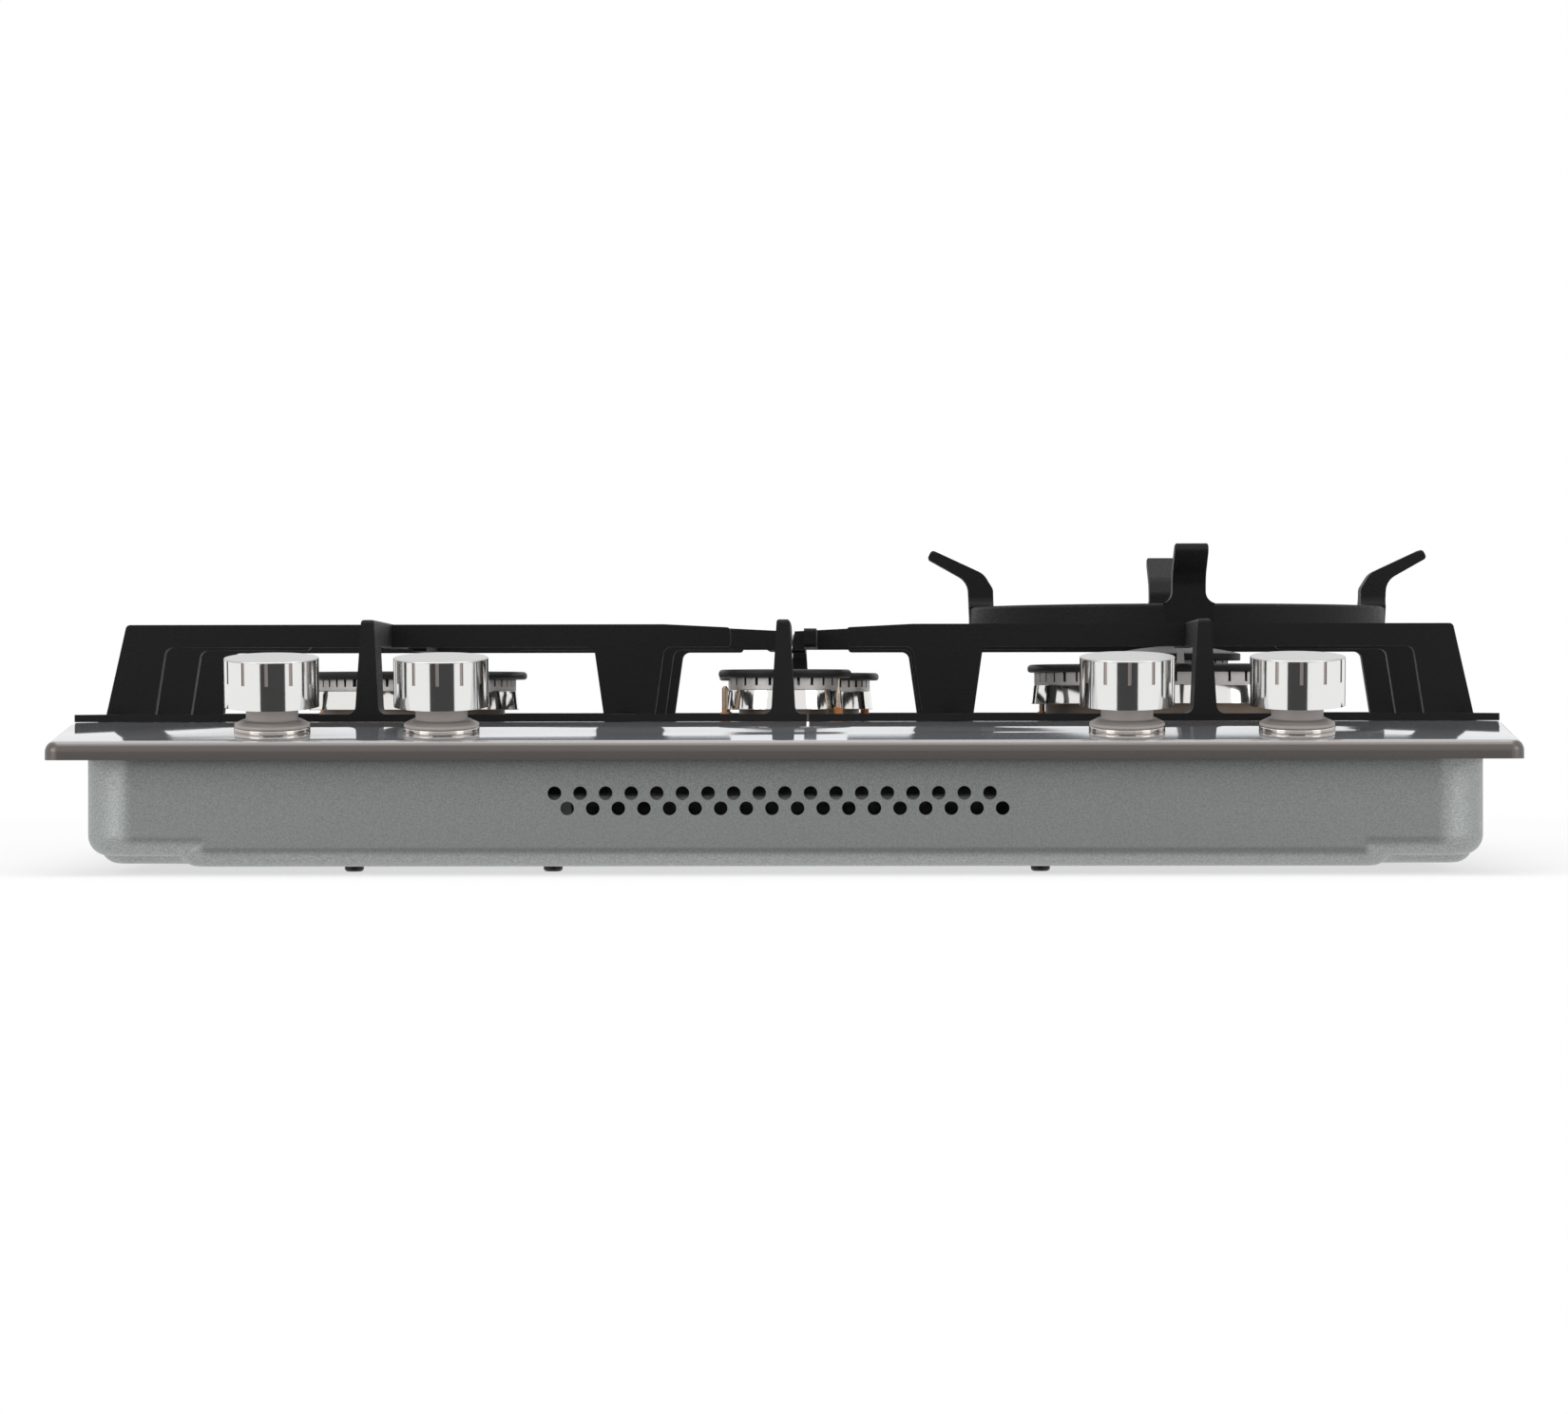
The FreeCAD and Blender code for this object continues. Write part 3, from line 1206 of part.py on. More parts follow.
# ---------------------------------------------------------------------------------------------
# Ignition and flame sensing
# ---------------------------------------------------------------------------------------------
electrodes = []
thermocouples = []
for burner in BURNERS:
    pin_x, pin_y = beside(burner, ELECTRODE)
    taper = s.electrode_pin / 2
    electrode = turned(burner.name + "_electrode", [
        (ZERO, -s.electrode_depth), (s.electrode_base / 2, -s.electrode_depth),
        (s.electrode_base / 2, s.electrode_base_top), (taper, s.electrode_base_top),
        (taper, s.electrode_top - 6), (taper * 0.45, s.electrode_top - 3), (taper * 0.45, s.electrode_top),
        (ZERO, s.electrode_top)])
    electrodes.append(place(electrode, pin_x, pin_y, surface))
    pin_x, pin_y = beside(burner, THERMOCOUPLE)
    thermocouple = turned(burner.name + "_thermocouple", [
        (ZERO, -s.electrode_depth), (s.electrode_base / 2, -s.electrode_depth),
        (s.electrode_base / 2, s.electrode_base_top - 2), (s.thermocouple_pin / 2, s.electrode_base_top - 2),
        (s.thermocouple_pin / 2, s.thermocouple_top - 1), (s.thermocouple_pin / 2 - 0.6, s.thermocouple_top),
        (ZERO, s.thermocouple_top)])
    thermocouples.append(place(thermocouple, pin_x, pin_y, surface))
node(group("spark_electrodes", *electrodes))
node(group("thermocouples", *thermocouples))

spark_module = node(box("spark_module", s.module_width, s.module_depth, s.module_height,
                        module_x - s.module_width / 2, module_y - s.module_depth / 2, floor_top))


def grommet_shape():
    """A rubber grommet whose groove grips the rear wall."""
    wall = s.case_sheet.number
    back = case_depth.number / 2
    start = Vector(module_x.number, back - s.grommet_length.number / 2, rail_z)
    along = Vector(0, 1, 0)
    outside = Part.makeCylinder(s.grommet_diameter.number / 2 + 3, s.grommet_length.number, start, along)
    groove = Part.makeCylinder(s.grommet_diameter.number / 2 + 4, wall,
                               Vector(start.x, back - wall, rail_z), along)
    core = Part.makeCylinder(s.grommet_diameter.number / 2, s.grommet_length.number, start, along)
    bore = Part.makeCylinder(s.grommet_bore.number / 2, s.grommet_length.number + 2, start - along, along)
    return outside.cut(groove).fuse(core).cut(bore)


node(solid("mains_grommet", grommet_shape()))

# ---------------------------------------------------------------------------------------------
# Pan supports: one cast-iron pattern, the right one turned half round
# ---------------------------------------------------------------------------------------------
base_low = (surface + s.base_gap).number
base_top = base_low + s.base_height.number
bar_top = (surface + s.bar_top).number
bar_low = bar_top - s.bar_height.number
outer_top = support_half_width.number - s.outer_leg_lean.number
outer_foot = support_half_width.number
half_support = support_depth.number / 2
fall = s.tip_fall.number
fall_length = s.tip_fall_length.number
leg_round = s.leg_round.number
tip_round = s.tip_round.number
middle_offset = s.middle_offset.number


def leg_row(y, inner_end):
    """A cross bar with its outer and inner leg, as one plate across the support."""
    corners = [
        (-outer_foot, base_low, 0), (-outer_top, bar_top, 2.0),
        (-inner_end - fall_length, bar_top, 0), (-inner_end, bar_top - fall, tip_round),
        (-inner_end, bar_low, tip_round), (-s.inner_leg_inside.number, bar_low, leg_round),
        (-s.inner_leg_inside.number - s.inner_leg_taper.number, base_low, 0),
        (-s.inner_leg_outside.number + s.inner_leg_taper.number, base_low, 0),
        (-s.inner_leg_outside.number, bar_low, leg_round),
        (-outer_top + s.outer_leg_width.number, bar_low, leg_round),
        (-outer_top + s.outer_leg_width.number - s.outer_leg_taper.number, base_low, 0)]
    return plate_of(corners, s.bar_width.number, y)


def middle_row():
    """The middle cross bar, open over the large burner."""
    tip = s.large_burner_tip.number
    burner_x = rapid_x.number
    left_end = burner_x - tip
    right_end = burner_x + tip
    outer = [
        (-outer_foot, base_low, 0), (-outer_top, bar_top, 2.0), (left_end - fall_length, bar_top, 0),
        (left_end, bar_top - fall, tip_round), (left_end, bar_low, tip_round),
        (-outer_top + s.outer_leg_width.number, bar_low, leg_round),
        (-outer_top + s.outer_leg_width.number - s.outer_leg_taper.number, base_low, 0)]
    inner = [
        (right_end, bar_low, tip_round), (right_end, bar_top - fall, tip_round),
        (right_end + fall_length, bar_top, 0), (-middle_offset - fall_length, bar_top, 0),
        (-middle_offset, bar_top - fall, 0), (-middle_offset, bar_low, 0),
        (-s.inner_leg_inside.number, bar_low, leg_round),
        (-s.inner_leg_inside.number - s.inner_leg_taper.number, base_low, 0),
        (-s.inner_leg_outside.number + s.inner_leg_taper.number, base_low, 0),
        (-s.inner_leg_outside.number, bar_low, leg_round)]
    return [plate_of(outer, s.bar_width.number, 0.0), plate_of(inner, s.bar_width.number, 0.0)]


def finger(x, tip_y, side):
    """A leg from the end bar with the finger that runs from it to a burner; side is -1 at the front."""
    finger_top = bar_top + s.finger_rise.number
    out = half_support
    lean = s.finger_leg_lean.number
    leg_depth = s.finger_leg_depth.number
    side_corners = [
        (side * out, base_low, 0), (side * (out - lean), finger_top, 2.0),
        (side * (abs(tip_y) + fall_length), bar_top, 0), (side * abs(tip_y), bar_top - fall, tip_round),
        (side * abs(tip_y), bar_low, tip_round), (side * (out - lean - leg_depth), bar_low, leg_round),
        (side * (out - leg_depth), base_low, 0)]
    foot = s.finger_foot_width.number / 2
    head = s.finger_top_width.number / 2
    front_corners = [
        (x - foot - leg_round * 1.4, base_low, 0), (x - foot - leg_round * 1.4, base_top, 0),
        (x - foot, base_top, leg_round), (x - head, finger_top, 1.2), (x + head, finger_top, 1.2),
        (x + foot, base_top, leg_round), (x + foot + leg_round * 1.4, base_top, 0),
        (x + foot + leg_round * 1.4, base_low, 0)]
    from_side = plate_of(side_corners, s.finger_foot_width.number + leg_round * 6, x, "YZ")
    from_front = plate_of(front_corners, half_support * 2 + 20, 0.0)
    return from_side.common(from_front)


def stub(x, tip_y):
    """A short finger from the middle row towards a small burner."""
    head = s.finger_top_width.number / 2
    length = abs(tip_y)
    low_y = min(0.0, tip_y)
    bar = Part.makeBox(head * 2, length, s.bar_height.number - fall, Vector(x - head, low_y, bar_low))
    ends = [edge for edge in bar.Edges
            if abs(edge.CenterOfMass.y - tip_y) < 0.001 and edge.BoundBox.ZLength < 0.001]
    return bar.makeFillet(tip_round, ends)


def bar_block(x_from, x_to, y_from, y_to):
    """One bar of the base frame."""
    return Part.makeBox(x_to - x_from, y_to - y_from, base_top - base_low, Vector(x_from, y_from, base_low))


width = s.base_width.number
split = s.support_split.number
support_feet_xy = [(-support_half_width.number + width / 2 + 8, side * (half_support - width / 2))
                   for side in (-1, 1)]
support_feet_xy += [(-s.inner_bar_x.number, side * (half_support - width / 2)) for side in (-1, 1)]


def support_shape():
    """The left pan support about its own middle, at its real height."""
    small_tip = s.row_pitch.number + s.small_burner_tip.number
    pieces = [
        bar_block(-outer_foot, split, -half_support, -half_support + width),
        bar_block(-outer_foot, -split - middle_offset, half_support - width, half_support),
        bar_block(-outer_foot, -outer_foot + width, -half_support, half_support),
        bar_block(-s.inner_bar_x.number - width / 2, -s.inner_bar_x.number + width / 2,
                  -half_support, half_support),
        leg_row(-s.row_pitch.number, s.small_burner_tip.number),
        leg_row(s.row_pitch.number, s.small_burner_tip.number),
        finger(-finger_x.number, s.large_burner_tip.number, -1),
        finger(-finger_x.number, s.large_burner_tip.number, 1),
        finger(-middle_offset, small_tip, -1),
        stub(-s.stub_x.number, s.row_pitch.number - s.small_burner_tip.number),
    ]
    pieces += middle_row()
    whole = pieces[0].multiFuse(pieces[1:]).removeSplitter()
    room = whole.BoundBox
    keep = Part.makeBox(outer_foot + 1 + split, room.YLength + 2, room.ZLength + 2,
                        Vector(-outer_foot - 1, -half_support - 1, base_low - 1))
    whole = whole.common(keep)
    for x, y in support_feet_xy:
        socket = Part.makeCylinder(s.foot_diameter.number / 2 + 0.05, s.foot_socket.number,
                                   Vector(x, y, base_low))
        whole = whole.cut(socket)
    return whole


def support_foot_shapes():
    """Rubber studs in the base frame's sockets."""
    low = surface.number + s.seat_gap.number
    height = base_low + s.foot_socket.number - low
    return Part.makeCompound([Part.makeCylinder(s.foot_diameter.number / 2, height, Vector(x, y, low))
                              for x, y in support_feet_xy])


left_form = support_shape()
left_feet = support_foot_shapes()
half_turn = Rotation(Vector(0, 0, 1), 180)
for name, shape, rotation in (("left_pan_support", left_form, Rotation()),
                              ("right_pan_support", left_form, half_turn),
                              ("left_support_feet", left_feet, Rotation()),
                              ("right_support_feet", left_feet, half_turn)):
    piece = solid(name, shape.copy())
    piece.Placement = Placement(Vector(0, support_y.number, 0), rotation)
    node(place(piece, ZERO, support_y, ZERO))

# ---------------------------------------------------------------------------------------------
# Wok ring: a cast band with four arms that lean outwards
# ---------------------------------------------------------------------------------------------


def wok_ring_shape():
    """The band and its arms about the wok burner's axis."""
    low = bar_top + s.wok_ring_gap.number
    high = low + s.wok_band_height.number
    outside = s.wok_band_outside.number / 2
    band = Part.makeCylinder(outside, high - low, Vector(0, 0, low))
    band = band.cut(Part.makeCylinder(outside - s.wok_band_width.number, high - low + 2,
                                      Vector(0, 0, low - 1)))
    band = band.makeFillet(1.5, [edge for edge in band.Edges
                                 if edge.BoundBox.ZLength < 0.001 and abs(edge.BoundBox.ZMax - high) < 0.001])
    reach = s.wok_arm_reach.number
    top = surface.number + s.wok_arm_top.number
    bend = surface.number + s.wok_arm_bend.number
    wall = s.wok_arm_wall.number
    tip = s.wok_arm_tip.number
    radial = [
        (outside - wall, low, 0), (outside - 0.4, low, 0), (outside + 0.6, bend, 8.0),
        (reach - 0.7, top - tip + 1.0, 1.6), (reach - 2.6, top, 1.6), (outside - wall + 4.6, bend + 3.4, 8.0),
        (outside - wall + 0.4, bend - 3.4, 4.0)]
    half = s.wok_arm_width.number / 2
    flare = s.wok_arm_flare.number / 2
    across = [
        (-flare, low, 0), (-flare, high, 0), (-half, high, 5.0), (-half, top, 2.0), (half, top, 2.0),
        (half, high, 5.0), (flare, high, 0), (flare, low, 0)]
    from_side = plate_of(across, reach, reach / 2 + 20, "YZ")
    arm_plan = plate_of(radial, flare * 2 + 2, 0.0)
    arm = arm_plan.common(from_side)
    arms = []
    for quarter in range(4):
        turned_arm = arm.copy()
        turned_arm.rotate(Vector(0, 0, 0), Vector(0, 0, 1), 90 * quarter)
        arms.append(turned_arm)
    return band.multiFuse(arms).removeSplitter()


node(place(solid("wok_ring", wok_ring_shape()), wok.x, wok.y, ZERO))

# ---------------------------------------------------------------------------------------------
# Check every object, then write each node
# ---------------------------------------------------------------------------------------------
doc.recompute()
faults = [item.Name for item in doc.Objects if "Invalid" in item.State or "Error" in item.State]
for piece in NODES:
    if piece.Shape.isNull() or not piece.Shape.isValid() or not piece.Shape.Solids:
        faults.append(piece.Label)
if faults:
    raise RuntimeError("These pieces failed: " + ", ".join(faults))
os.makedirs("parts", exist_ok=True)
for piece in NODES:
    piece.Shape.exportStep("parts/%s.step" % piece.Label)
print("%d nodes written" % len(NODES))
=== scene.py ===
"""Studio scene of a built-in gas cooktop: steel plate, drawn case, cast pan supports and wok ring."""
import json
import math

import bpy
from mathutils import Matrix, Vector


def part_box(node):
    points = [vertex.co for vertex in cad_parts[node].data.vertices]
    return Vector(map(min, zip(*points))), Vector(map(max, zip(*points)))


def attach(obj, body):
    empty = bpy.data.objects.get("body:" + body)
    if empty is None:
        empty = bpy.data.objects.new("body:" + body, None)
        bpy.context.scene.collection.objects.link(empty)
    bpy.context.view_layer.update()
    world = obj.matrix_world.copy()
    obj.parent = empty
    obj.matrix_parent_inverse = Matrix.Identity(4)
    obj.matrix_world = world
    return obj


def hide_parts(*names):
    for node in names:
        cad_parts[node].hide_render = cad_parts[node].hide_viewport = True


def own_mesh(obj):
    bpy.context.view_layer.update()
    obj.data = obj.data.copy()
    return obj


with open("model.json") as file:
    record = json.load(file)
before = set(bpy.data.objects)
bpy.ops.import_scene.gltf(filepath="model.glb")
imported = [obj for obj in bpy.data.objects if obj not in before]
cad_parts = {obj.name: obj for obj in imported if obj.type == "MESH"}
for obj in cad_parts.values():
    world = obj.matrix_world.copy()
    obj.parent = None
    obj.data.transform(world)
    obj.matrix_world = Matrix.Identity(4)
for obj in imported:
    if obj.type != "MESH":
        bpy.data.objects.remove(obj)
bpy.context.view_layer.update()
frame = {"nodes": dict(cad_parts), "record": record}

nodes = frame["nodes"]
body_of_node = {node: body
                for body, members in frame["record"]["behaviour"]["bodies"].items() for node in members}

# ---------------------------------------------------------------------------------------------
# Case: one deep-drawn tray of galvanised sheet, with vents punched in its front and rounded,
# raised corners for the worktop clamps.  The zinc has a fine grain that glitters a little.
# ---------------------------------------------------------------------------------------------


def finish(name, colour, metallic=0.0, roughness=0.5, **sockets):
    """A material with its shader set straight on the sockets."""
    material = bpy.data.materials.new(name)
    material.use_nodes = True
    shader = material.node_tree.nodes["Principled BSDF"]
    shader.inputs["Base Color"].default_value = (*colour, 1.0)
    shader.inputs["Metallic"].default_value = metallic
    shader.inputs["Roughness"].default_value = roughness
    for socket, value in sockets.items():
        shader.inputs[socket.replace("_", " ")].default_value = value
    return material


def grain(material, scale, stretch=(1, 1, 1), detail=3.0):
    """Noise over the piece's own coordinates, drawn out along an axis where stretch is small."""
    tree = material.node_tree
    place = tree.nodes.new("ShaderNodeTexCoord")
    mapping = tree.nodes.new("ShaderNodeMapping")
    mapping.inputs["Scale"].default_value = stretch
    noise = tree.nodes.new("ShaderNodeTexNoise")
    noise.inputs["Scale"].default_value = scale
    noise.inputs["Detail"].default_value = detail
    tree.links.new(place.outputs["Object"], mapping.inputs["Vector"])
    tree.links.new(mapping.outputs["Vector"], noise.inputs["Vector"])
    return noise.outputs["Fac"]


def ramp(material, value, low, high, start, end):
    """A number from start to end while the value goes from low to high."""
    tree = material.node_tree
    node = tree.nodes.new("ShaderNodeMapRange")
    node.inputs["From Min"].default_value = low
    node.inputs["From Max"].default_value = high
    node.inputs["To Min"].default_value = start
    node.inputs["To Max"].default_value = end
    tree.links.new(value, node.inputs["Value"])
    return node.outputs["Result"]


def blend_colour(material, factor, first, second):
    """One colour or the other, by a factor, into the shader."""
    tree = material.node_tree
    mix = tree.nodes.new("ShaderNodeMix")
    mix.data_type = "RGBA"
    for socket, colour in (("A", first), ("B", second)):
        target = [item for item in mix.inputs if item.name == socket and item.type == "RGBA"][0]
        if isinstance(colour, tuple):
            target.default_value = (*colour, 1.0)
        else:
            tree.links.new(colour, target)
    tree.links.new(factor, mix.inputs["Factor"])
    result = [item for item in mix.outputs if item.type == "RGBA"][0]
    tree.links.new(result, tree.nodes["Principled BSDF"].inputs["Base Color"])
    return result


def relief(material, height, depth):
    """Fine relief of a real depth in metres."""
    tree = material.node_tree
    bump = tree.nodes.new("ShaderNodeBump")
    bump.inputs["Distance"].default_value = depth
    bump.inputs["Strength"].default_value = 1.0
    tree.links.new(height, bump.inputs["Height"])
    tree.links.new(bump.outputs["Normal"], tree.nodes["Principled BSDF"].inputs["Normal"])


def into(material, value, socket):
    """Feed a number into one socket of the shader."""
    tree = material.node_tree
    tree.links.new(value, tree.nodes["Principled BSDF"].inputs[socket])


def dress(node, material):
    """Give a piece of the fixed model its finish."""
    piece = nodes[node]
    piece.data.materials.clear()
    piece.data.materials.append(material)


def smooth_over(piece):
    """Shade curved faces as one, with flat faces kept flat."""
    bpy.ops.object.shade_smooth_by_angle(angle=math.radians(38.0))
    weight = piece.modifiers.new("flat faces first", "WEIGHTED_NORMAL")
    weight.keep_sharp = True
    weight.weight = 100
    bpy.ops.object.modifier_apply(modifier=weight.name)


def softened(node, material, width, segments=2, angle=32.0):
    """A merged copy of a node with its edges broken, which takes that node's place."""
    piece = bpy.data.objects.new(node + "_finished", nodes[node].data.copy())
    bpy.context.scene.collection.objects.link(piece)
    bpy.ops.object.select_all(action="DESELECT")
    piece.select_set(True)
    bpy.context.view_layer.objects.active = piece
    bpy.ops.object.mode_set(mode="EDIT")
    bpy.ops.mesh.select_all(action="SELECT")
    bpy.ops.mesh.remove_doubles(threshold=0.00001)
    bpy.ops.mesh.dissolve_limited(angle_limit=math.radians(0.4))
    bpy.ops.object.mode_set(mode="OBJECT")
    if width:
        edge = piece.modifiers.new("edges", "BEVEL")
        edge.width = width
        edge.segments = segments
        edge.limit_method = "ANGLE"
        edge.angle_limit = math.radians(angle)
        edge.use_clamp_overlap = True
        bpy.ops.object.modifier_apply(modifier=edge.name)
    smooth_over(piece)
    piece.data.materials.clear()
    piece.data.materials.append(material)
    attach(piece, body_of_node[node])
    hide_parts(node)
    return piece


zinc = finish("galvanised sheet", (0.34, 0.365, 0.36), 0.9, 0.42)
zinc_grain = grain(zinc, 1600.0, detail=2.0)
blend_colour(zinc, ramp(zinc, zinc_grain, 0.3, 0.7, 0.0, 1.0), (0.245, 0.262, 0.255), (0.395, 0.412, 0.405))
into(zinc, ramp(zinc, zinc_grain, 0.3, 0.7, 0.5, 0.36), "Roughness")
softened("bottom_case", zinc, 0.0)
dress("burner_brackets", zinc)

# ---------------------------------------------------------------------------------------------
# Screws: pan heads under the case, blackened, one at each rail saddle and bracket foot.
# ---------------------------------------------------------------------------------------------
screw_black = finish("blackened screw", (0.02, 0.02, 0.02), 0.6, 0.38)
into(screw_black, ramp(screw_black, grain(screw_black, 900.0), 0.3, 0.7, 0.32, 0.48), "Roughness")
softened("case_screws", screw_black, 0.0002)

# ---------------------------------------------------------------------------------------------
# Gas rail, saddles, inlet and taps inside the case: plated tube, die castings, turned brass.
# ---------------------------------------------------------------------------------------------
TAPS = range(1, 5)
BURNERS = ("rapid", "auxiliary", "semi_rapid", "wok")
rail_plating = finish("plated tube", (0.5, 0.5, 0.5), 1.0, 0.33)
into(rail_plating, ramp(rail_plating, grain(rail_plating, 300.0), 0.3, 0.7, 0.28, 0.4), "Roughness")
dress("gas_rail", rail_plating)
turned_brass = finish("turned brass", (0.72, 0.52, 0.25), 1.0, 0.3)
into(turned_brass, ramp(turned_brass, grain(turned_brass, 700.0), 0.3, 0.7, 0.24, 0.38), "Roughness")
for node in ["gas_inlet", "burner_jets"] + ["spindle_%d" % tap for tap in TAPS]:
    dress(node, turned_brass)
die_casting = finish("die casting", (0.52, 0.52, 0.53), 0.9, 0.5)
relief(die_casting, grain(die_casting, 800.0), 0.00005)
for node in ["rail_saddles"] + ["tap_body_%d" % tap for tap in TAPS]:
    dress(node, die_casting)
drawn_aluminium = finish("drawn aluminium", (0.66, 0.66, 0.67), 1.0, 0.3)
into(drawn_aluminium, ramp(drawn_aluminium, grain(drawn_aluminium, 400.0), 0.3, 0.7, 0.26, 0.4), "Roughness")
for burner in BURNERS:
    dress(burner + "_gas_pipe", drawn_aluminium)
bright_steel = finish("bright steel", (0.6, 0.6, 0.6), 1.0, 0.2)
into(bright_steel, ramp(bright_steel, grain(bright_steel, 900.0), 0.3, 0.7, 0.16, 0.28), "Roughness")
APRON_FALL = 0.0074
APRON_RUN = 0.062
TAP_LEAN = math.atan2(APRON_FALL, APRON_RUN)
for tap in TAPS:
    dress("valve_rod_%d" % tap, bright_steel)
    low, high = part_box("valve_spring_%d" % tap)
    coil = softened("valve_spring_%d" % tap, bright_steel, 0.0)
    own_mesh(coil)

# ---------------------------------------------------------------------------------------------
# Ignition: black switches on the taps, a white spark module and a rubber grommet in the rear wall.
# ---------------------------------------------------------------------------------------------
black_plastic = finish("black plastic", (0.03, 0.03, 0.03), 0.0, 0.5)
relief(black_plastic, grain(black_plastic, 1500.0), 0.00002)
dress("ignition_switches", black_plastic)
white_plastic = finish("white plastic", (0.75, 0.75, 0.73), 0.0, 0.45)
relief(white_plastic, grain(white_plastic, 1200.0), 0.00002)
dress("spark_module", white_plastic)
black_rubber = finish("black rubber", (0.025, 0.025, 0.025), 0.0, 0.7)
relief(black_rubber, grain(black_rubber, 900.0), 0.00004)
softened("mains_grommet", black_rubber, 0.0004)
for side in ("left", "right"):
    dress(side + "_support_feet", black_rubber)

# ---------------------------------------------------------------------------------------------
# Top plate: pressed stainless sheet, polished on top and brushed along its rolled rim, which carries painted
# shade as a dark brown-grey colour below the lit top.  Foam tape lies under its hem.
# ---------------------------------------------------------------------------------------------
stainless = finish("polished stainless", (0.55, 0.55, 0.56), 0.75, 0.1)
tree = stainless.node_tree
surface_way = tree.nodes.new("ShaderNodeNewGeometry")
split = tree.nodes.new("ShaderNodeSeparateXYZ")
tree.links.new(surface_way.outputs["Normal"], split.inputs["Vector"])
facing_up = ramp(stainless, split.outputs["Z"], 0.75, 0.97, 0.0, 1.0)
# Painted shade: faces that do not face up, such as the rolled rim, get a dark brown-grey colour and the top a
# light one.
blend_colour(stainless, facing_up, (0.125, 0.112, 0.104), (0.565, 0.575, 0.60))
into(stainless, ramp(stainless, facing_up, 0.0, 1.0, 0.3, 0.06), "Roughness")
softened("top_plate", stainless, 0.0)
foam = finish("foam tape", (0.1, 0.1, 0.1), 0.0, 0.9)
relief(foam, grain(foam, 1200.0), 0.0002)
dress("rim_seal", foam)

# ---------------------------------------------------------------------------------------------
# Knob seats: a polished ring on the plate and a grey silicone collar that shows the brass through.
# ---------------------------------------------------------------------------------------------
polished_ring = finish("polished ring", (0.56, 0.51, 0.47), 1.0, 0.12)
into(polished_ring, ramp(polished_ring, grain(polished_ring, 500.0), 0.3, 0.7, 0.08, 0.18), "Roughness")
softened("knob_bezels", polished_ring, 0.0002)
silicone = finish("silicone", (0.66, 0.61, 0.575), 0.0, 0.38, Transmission_Weight=0.35, IOR=1.41)
relief(silicone, grain(silicone, 700.0), 0.00002)
softened("knob_seals", silicone, 0.0003)

# ---------------------------------------------------------------------------------------------
# Knobs: turned metal caps, skirt polished bright, top spun in fine rings and given painted shade as a darker
# grey, marks engraved round the skirt with a dull brown-grey floor, and a boss for the spindle inside the
# hollow.
# ---------------------------------------------------------------------------------------------
PLATE_TOP = 0.060
TAP_FROM_EDGE = 0.035
TAP_FOOT = (-0.22, PLATE_TOP - APRON_FALL * (1 - TAP_FROM_EDGE / APRON_RUN))
SKIRT_RADIUS = 0.01888
SKIRT_SIDES = 240
SKIRT_WALL = 0.002
KNOB_FOOT = 0.0099
KNOB_TOP = 0.0294
TOP_EDGE = 0.0005
HOLLOW_DEPTH = 0.0168
BOSS_LENGTH = 0.0132
BOSS_INSET = 0.0113
MARK_STEP = 30.0
MARK_HALF_WIDTH = 2.0
MARK_LENGTH = 0.0096
MARK_DEPTH = 0.0004
MARK_FLOOR = 1.0 - MARK_DEPTH / SKIRT_RADIUS


